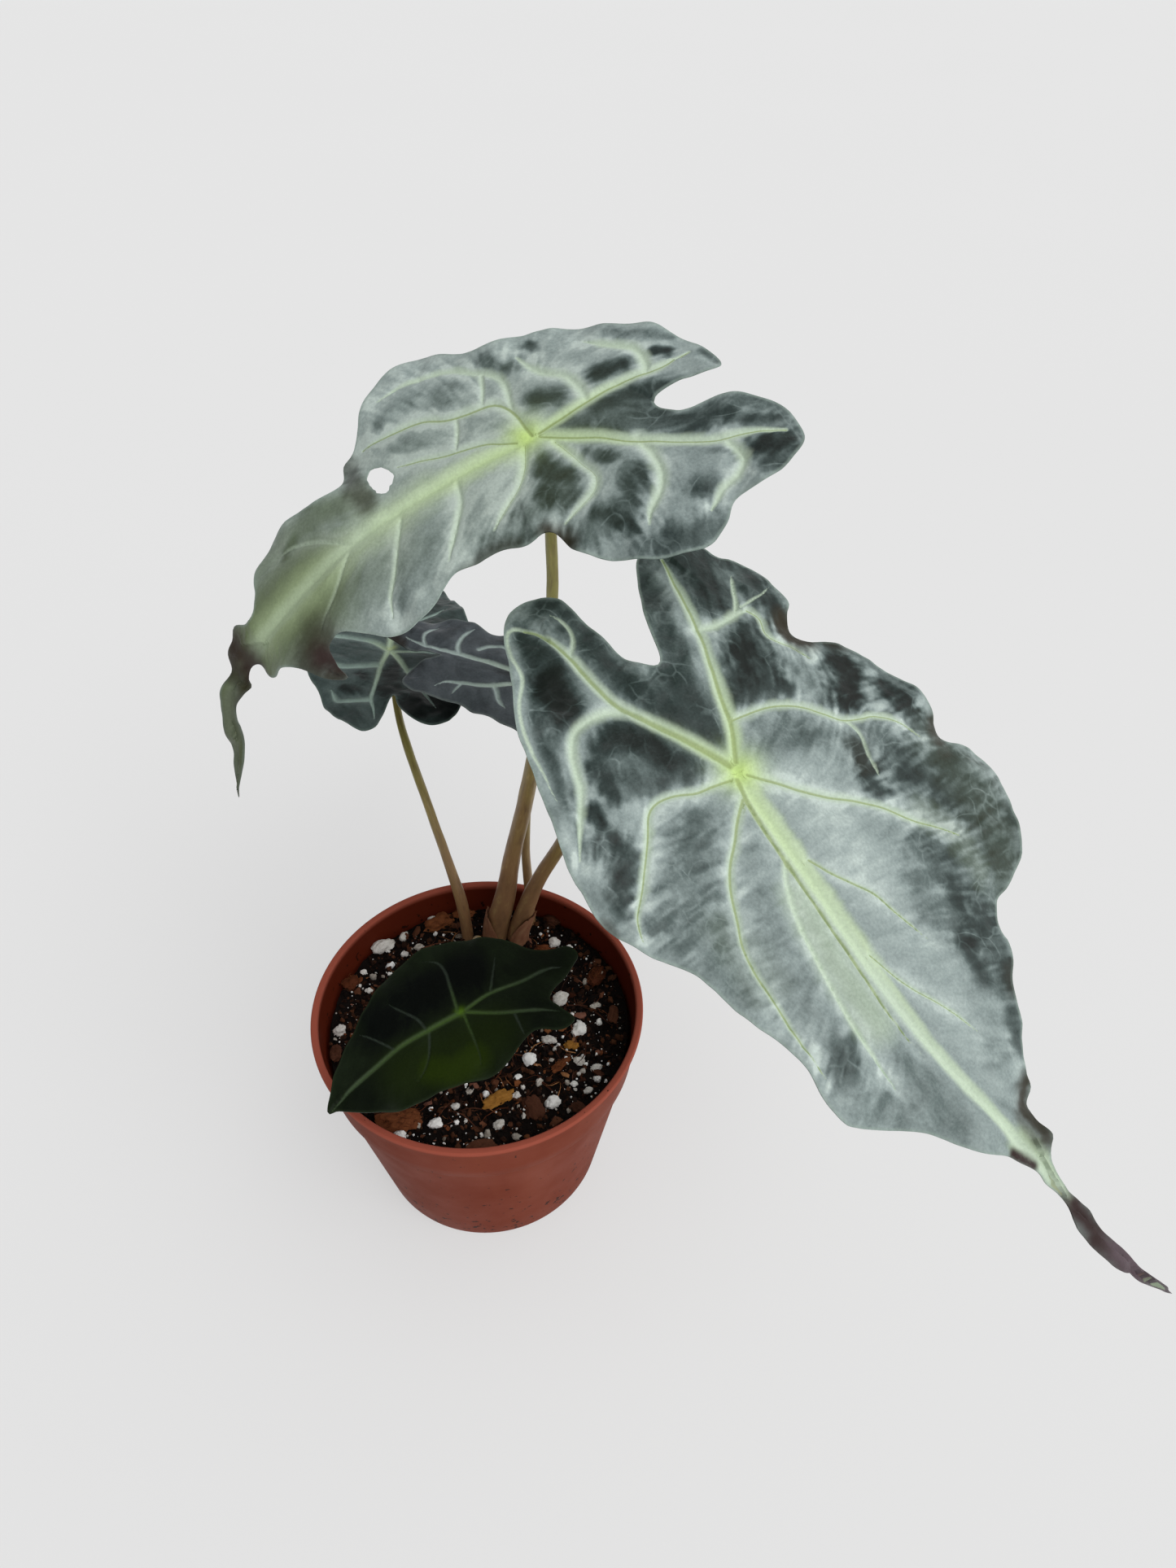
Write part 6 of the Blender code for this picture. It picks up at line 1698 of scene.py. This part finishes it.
    @staticmethod
    def large_lumps(relief, draw):
        """The coarse perlite and the chips at their places: points, faces and kind of each."""
        perlite, chips = [], []
        for x, y, long, wide, turn in PERLITE:
            long, wide = long * PERLITE_SCALE, wide * PERLITE_SCALE
            points, faces = lump(4, 0.34, (long, wide, wide * 0.85), draw.randint(1, 90))
            spot = (x, y, mix_height(x, y, relief) + wide * 0.45)
            perlite.append((placed(points, spot, math.radians(turn), 0.15), faces, "perlite"))
        for x, y, long, wide, high, turn, kind in CHIPS:
            z, bearing = mix_height(x, y, relief), math.radians(turn)
            points, faces = lump(4, 0.5, (long, wide, high), draw.randint(1, 90))
            chips.append((placed(points, (x, y, z + high * 0.5), bearing,
                                 draw.uniform(-0.2, 0.2)), faces, kind))
            # husk chips are shaggy: loose fibres lie on them, mostly along the chip
            for _ in range(int(long * 8) if kind == "coir" else 0):
                points, faces = twig(draw.uniform(-1.2, 1.2), draw.randint(1, 90))
                points = points * (draw.uniform(0.2, 0.5) * long / 5, 0.4, 0.4)
                across, along = draw.uniform(-0.7, 0.7), draw.uniform(-0.8, 0.8)
                spot = (x + long * along * math.cos(bearing) - wide * across * math.sin(bearing),
                        y + long * along * math.sin(bearing) + wide * across * math.cos(bearing),
                        z + high * (0.5 + 1.02 * math.sqrt(max(0, 1 - across ** 2 - along ** 2))))
                chips.append((placed(points, spot, bearing + draw.gauss(0, 0.5),
                                     draw.uniform(-0.25, 0.25)), faces, kind))
        return {"mix_large_perlite": perlite, "mix_large_chips": chips}


class ALOCASIA_OT_leaves(bpy.types.Operator):
    """Grows the five leaf blades"""
    bl_idname = "alocasia.leaves"
    bl_label = "Leaf blades"

    def execute(self, context):
        settings = context.scene.alocasia_leaf
        silver = dict(BLADE_TONES["silver"], vein=settings.vein_colour)
        silver["shades"] = ((0.0, settings.dark_colour), *silver["shades"][1:-1],
                            (1.0, settings.silver_colour))
        finishes = {kind: blade_finish("leaf_" + kind + "_waxy", tones)
                    for kind, tones in dict(BLADE_TONES, silver=silver).items()}
        pale = underside_finish("leaf_underside_matt", ("#7F9078", "#98A68C"), "#B4BF98")
        dull = underside_finish("leaf_underside_purple", ("#4E4650", "#605A5E"), "#8C9484")
        for name, leaf in LEAVES.items():
            under = pale if leaf["finish"] == "silver" else dull
            blade_piece(name, leaf, settings, [finishes[leaf["finish"]], under])
        return {"FINISHED"}


class ALOCASIA_OT_stalks(bpy.types.Operator):
    """Grows the stalks and the papery scales at their feet"""
    bl_idname = "alocasia.stalks"
    bl_label = "Stalks and sheaths"

    def execute(self, context):
        settings = context.scene.alocasia_stalk
        finish, tree = stalk_finish(settings), stalk_tree()
        for name, stalk in STALKS.items():
            path, radii = stalk_path(stalk, 6)
            mesh = bpy.data.meshes.new(name)
            mesh.from_pydata((path * MM).tolist(), [(k, k + 1) for k in range(len(path) - 1)], [])
            mark(mesh, "thick", radii * MM)
            host = add_to_scene(name + "_line", mesh)
            length = float(np.linalg.norm(np.diff(path, axis=0), axis=1).sum() * MM)
            swept = through_nodes(host, tree, {"Ring gap": settings.ring_gap, "Length": length,
                                               "Sides": settings.sides, "Skin": finish})
            bpy.data.objects.remove(host)
            swept.name = name + "_skin"
            swept.shade_smooth()
            swept.set_sharp_from_angle(angle=math.radians(60))
            settle(add_to_scene(name + "_skin", swept), "stalk", name)
        paper = sheath_finish(settings)
        for name, scale in SCALES.items():
            piece = scale_piece(name, scale, paper)
            settle(piece, "dry_sheath", *([name] if name in frame["nodes"] else []))
        return {"FINISHED"}


class ALOCASIA_PT_panel(bpy.types.Panel):
    """Lists the steps that dress the plant"""
    bl_idname = "ALOCASIA_PT_panel"
    bl_label = "Potted alocasia"
    bl_space_type = "VIEW_3D"
    bl_region_type = "UI"
    bl_category = "Alocasia"

    def draw(self, context):
        for step in STEPS:
            self.layout.operator(step.bl_idname)


SETTINGS = {"alocasia_stage": AlocasiaStageSettings, "alocasia_pot": AlocasiaPotSettings,
            "alocasia_mix": AlocasiaMixSettings, "alocasia_leaf": AlocasiaLeafSettings,
            "alocasia_stalk": AlocasiaStalkSettings}
STEPS = (ALOCASIA_OT_stage, ALOCASIA_OT_pot, ALOCASIA_OT_mix, ALOCASIA_OT_leaves,
         ALOCASIA_OT_stalks)


def register():
    for group in SETTINGS.values():
        bpy.utils.register_class(group)
    for name, group in SETTINGS.items():
        setattr(bpy.types.Scene, name, PointerProperty(type=group))
    for step in STEPS + (ALOCASIA_PT_panel,):
        bpy.utils.register_class(step)


def unregister():
    for step in (ALOCASIA_PT_panel,) + STEPS[::-1]:
        bpy.utils.unregister_class(step)
    for name in SETTINGS:
        delattr(bpy.types.Scene, name)
    for group in SETTINGS.values():
        bpy.utils.unregister_class(group)


def main():
    register()
    bpy.ops.alocasia.stage()
    bpy.ops.alocasia.pot()
    bpy.ops.alocasia.mix()
    bpy.ops.alocasia.leaves()
    bpy.ops.alocasia.stalks()


if __name__ == "__main__":
    main()
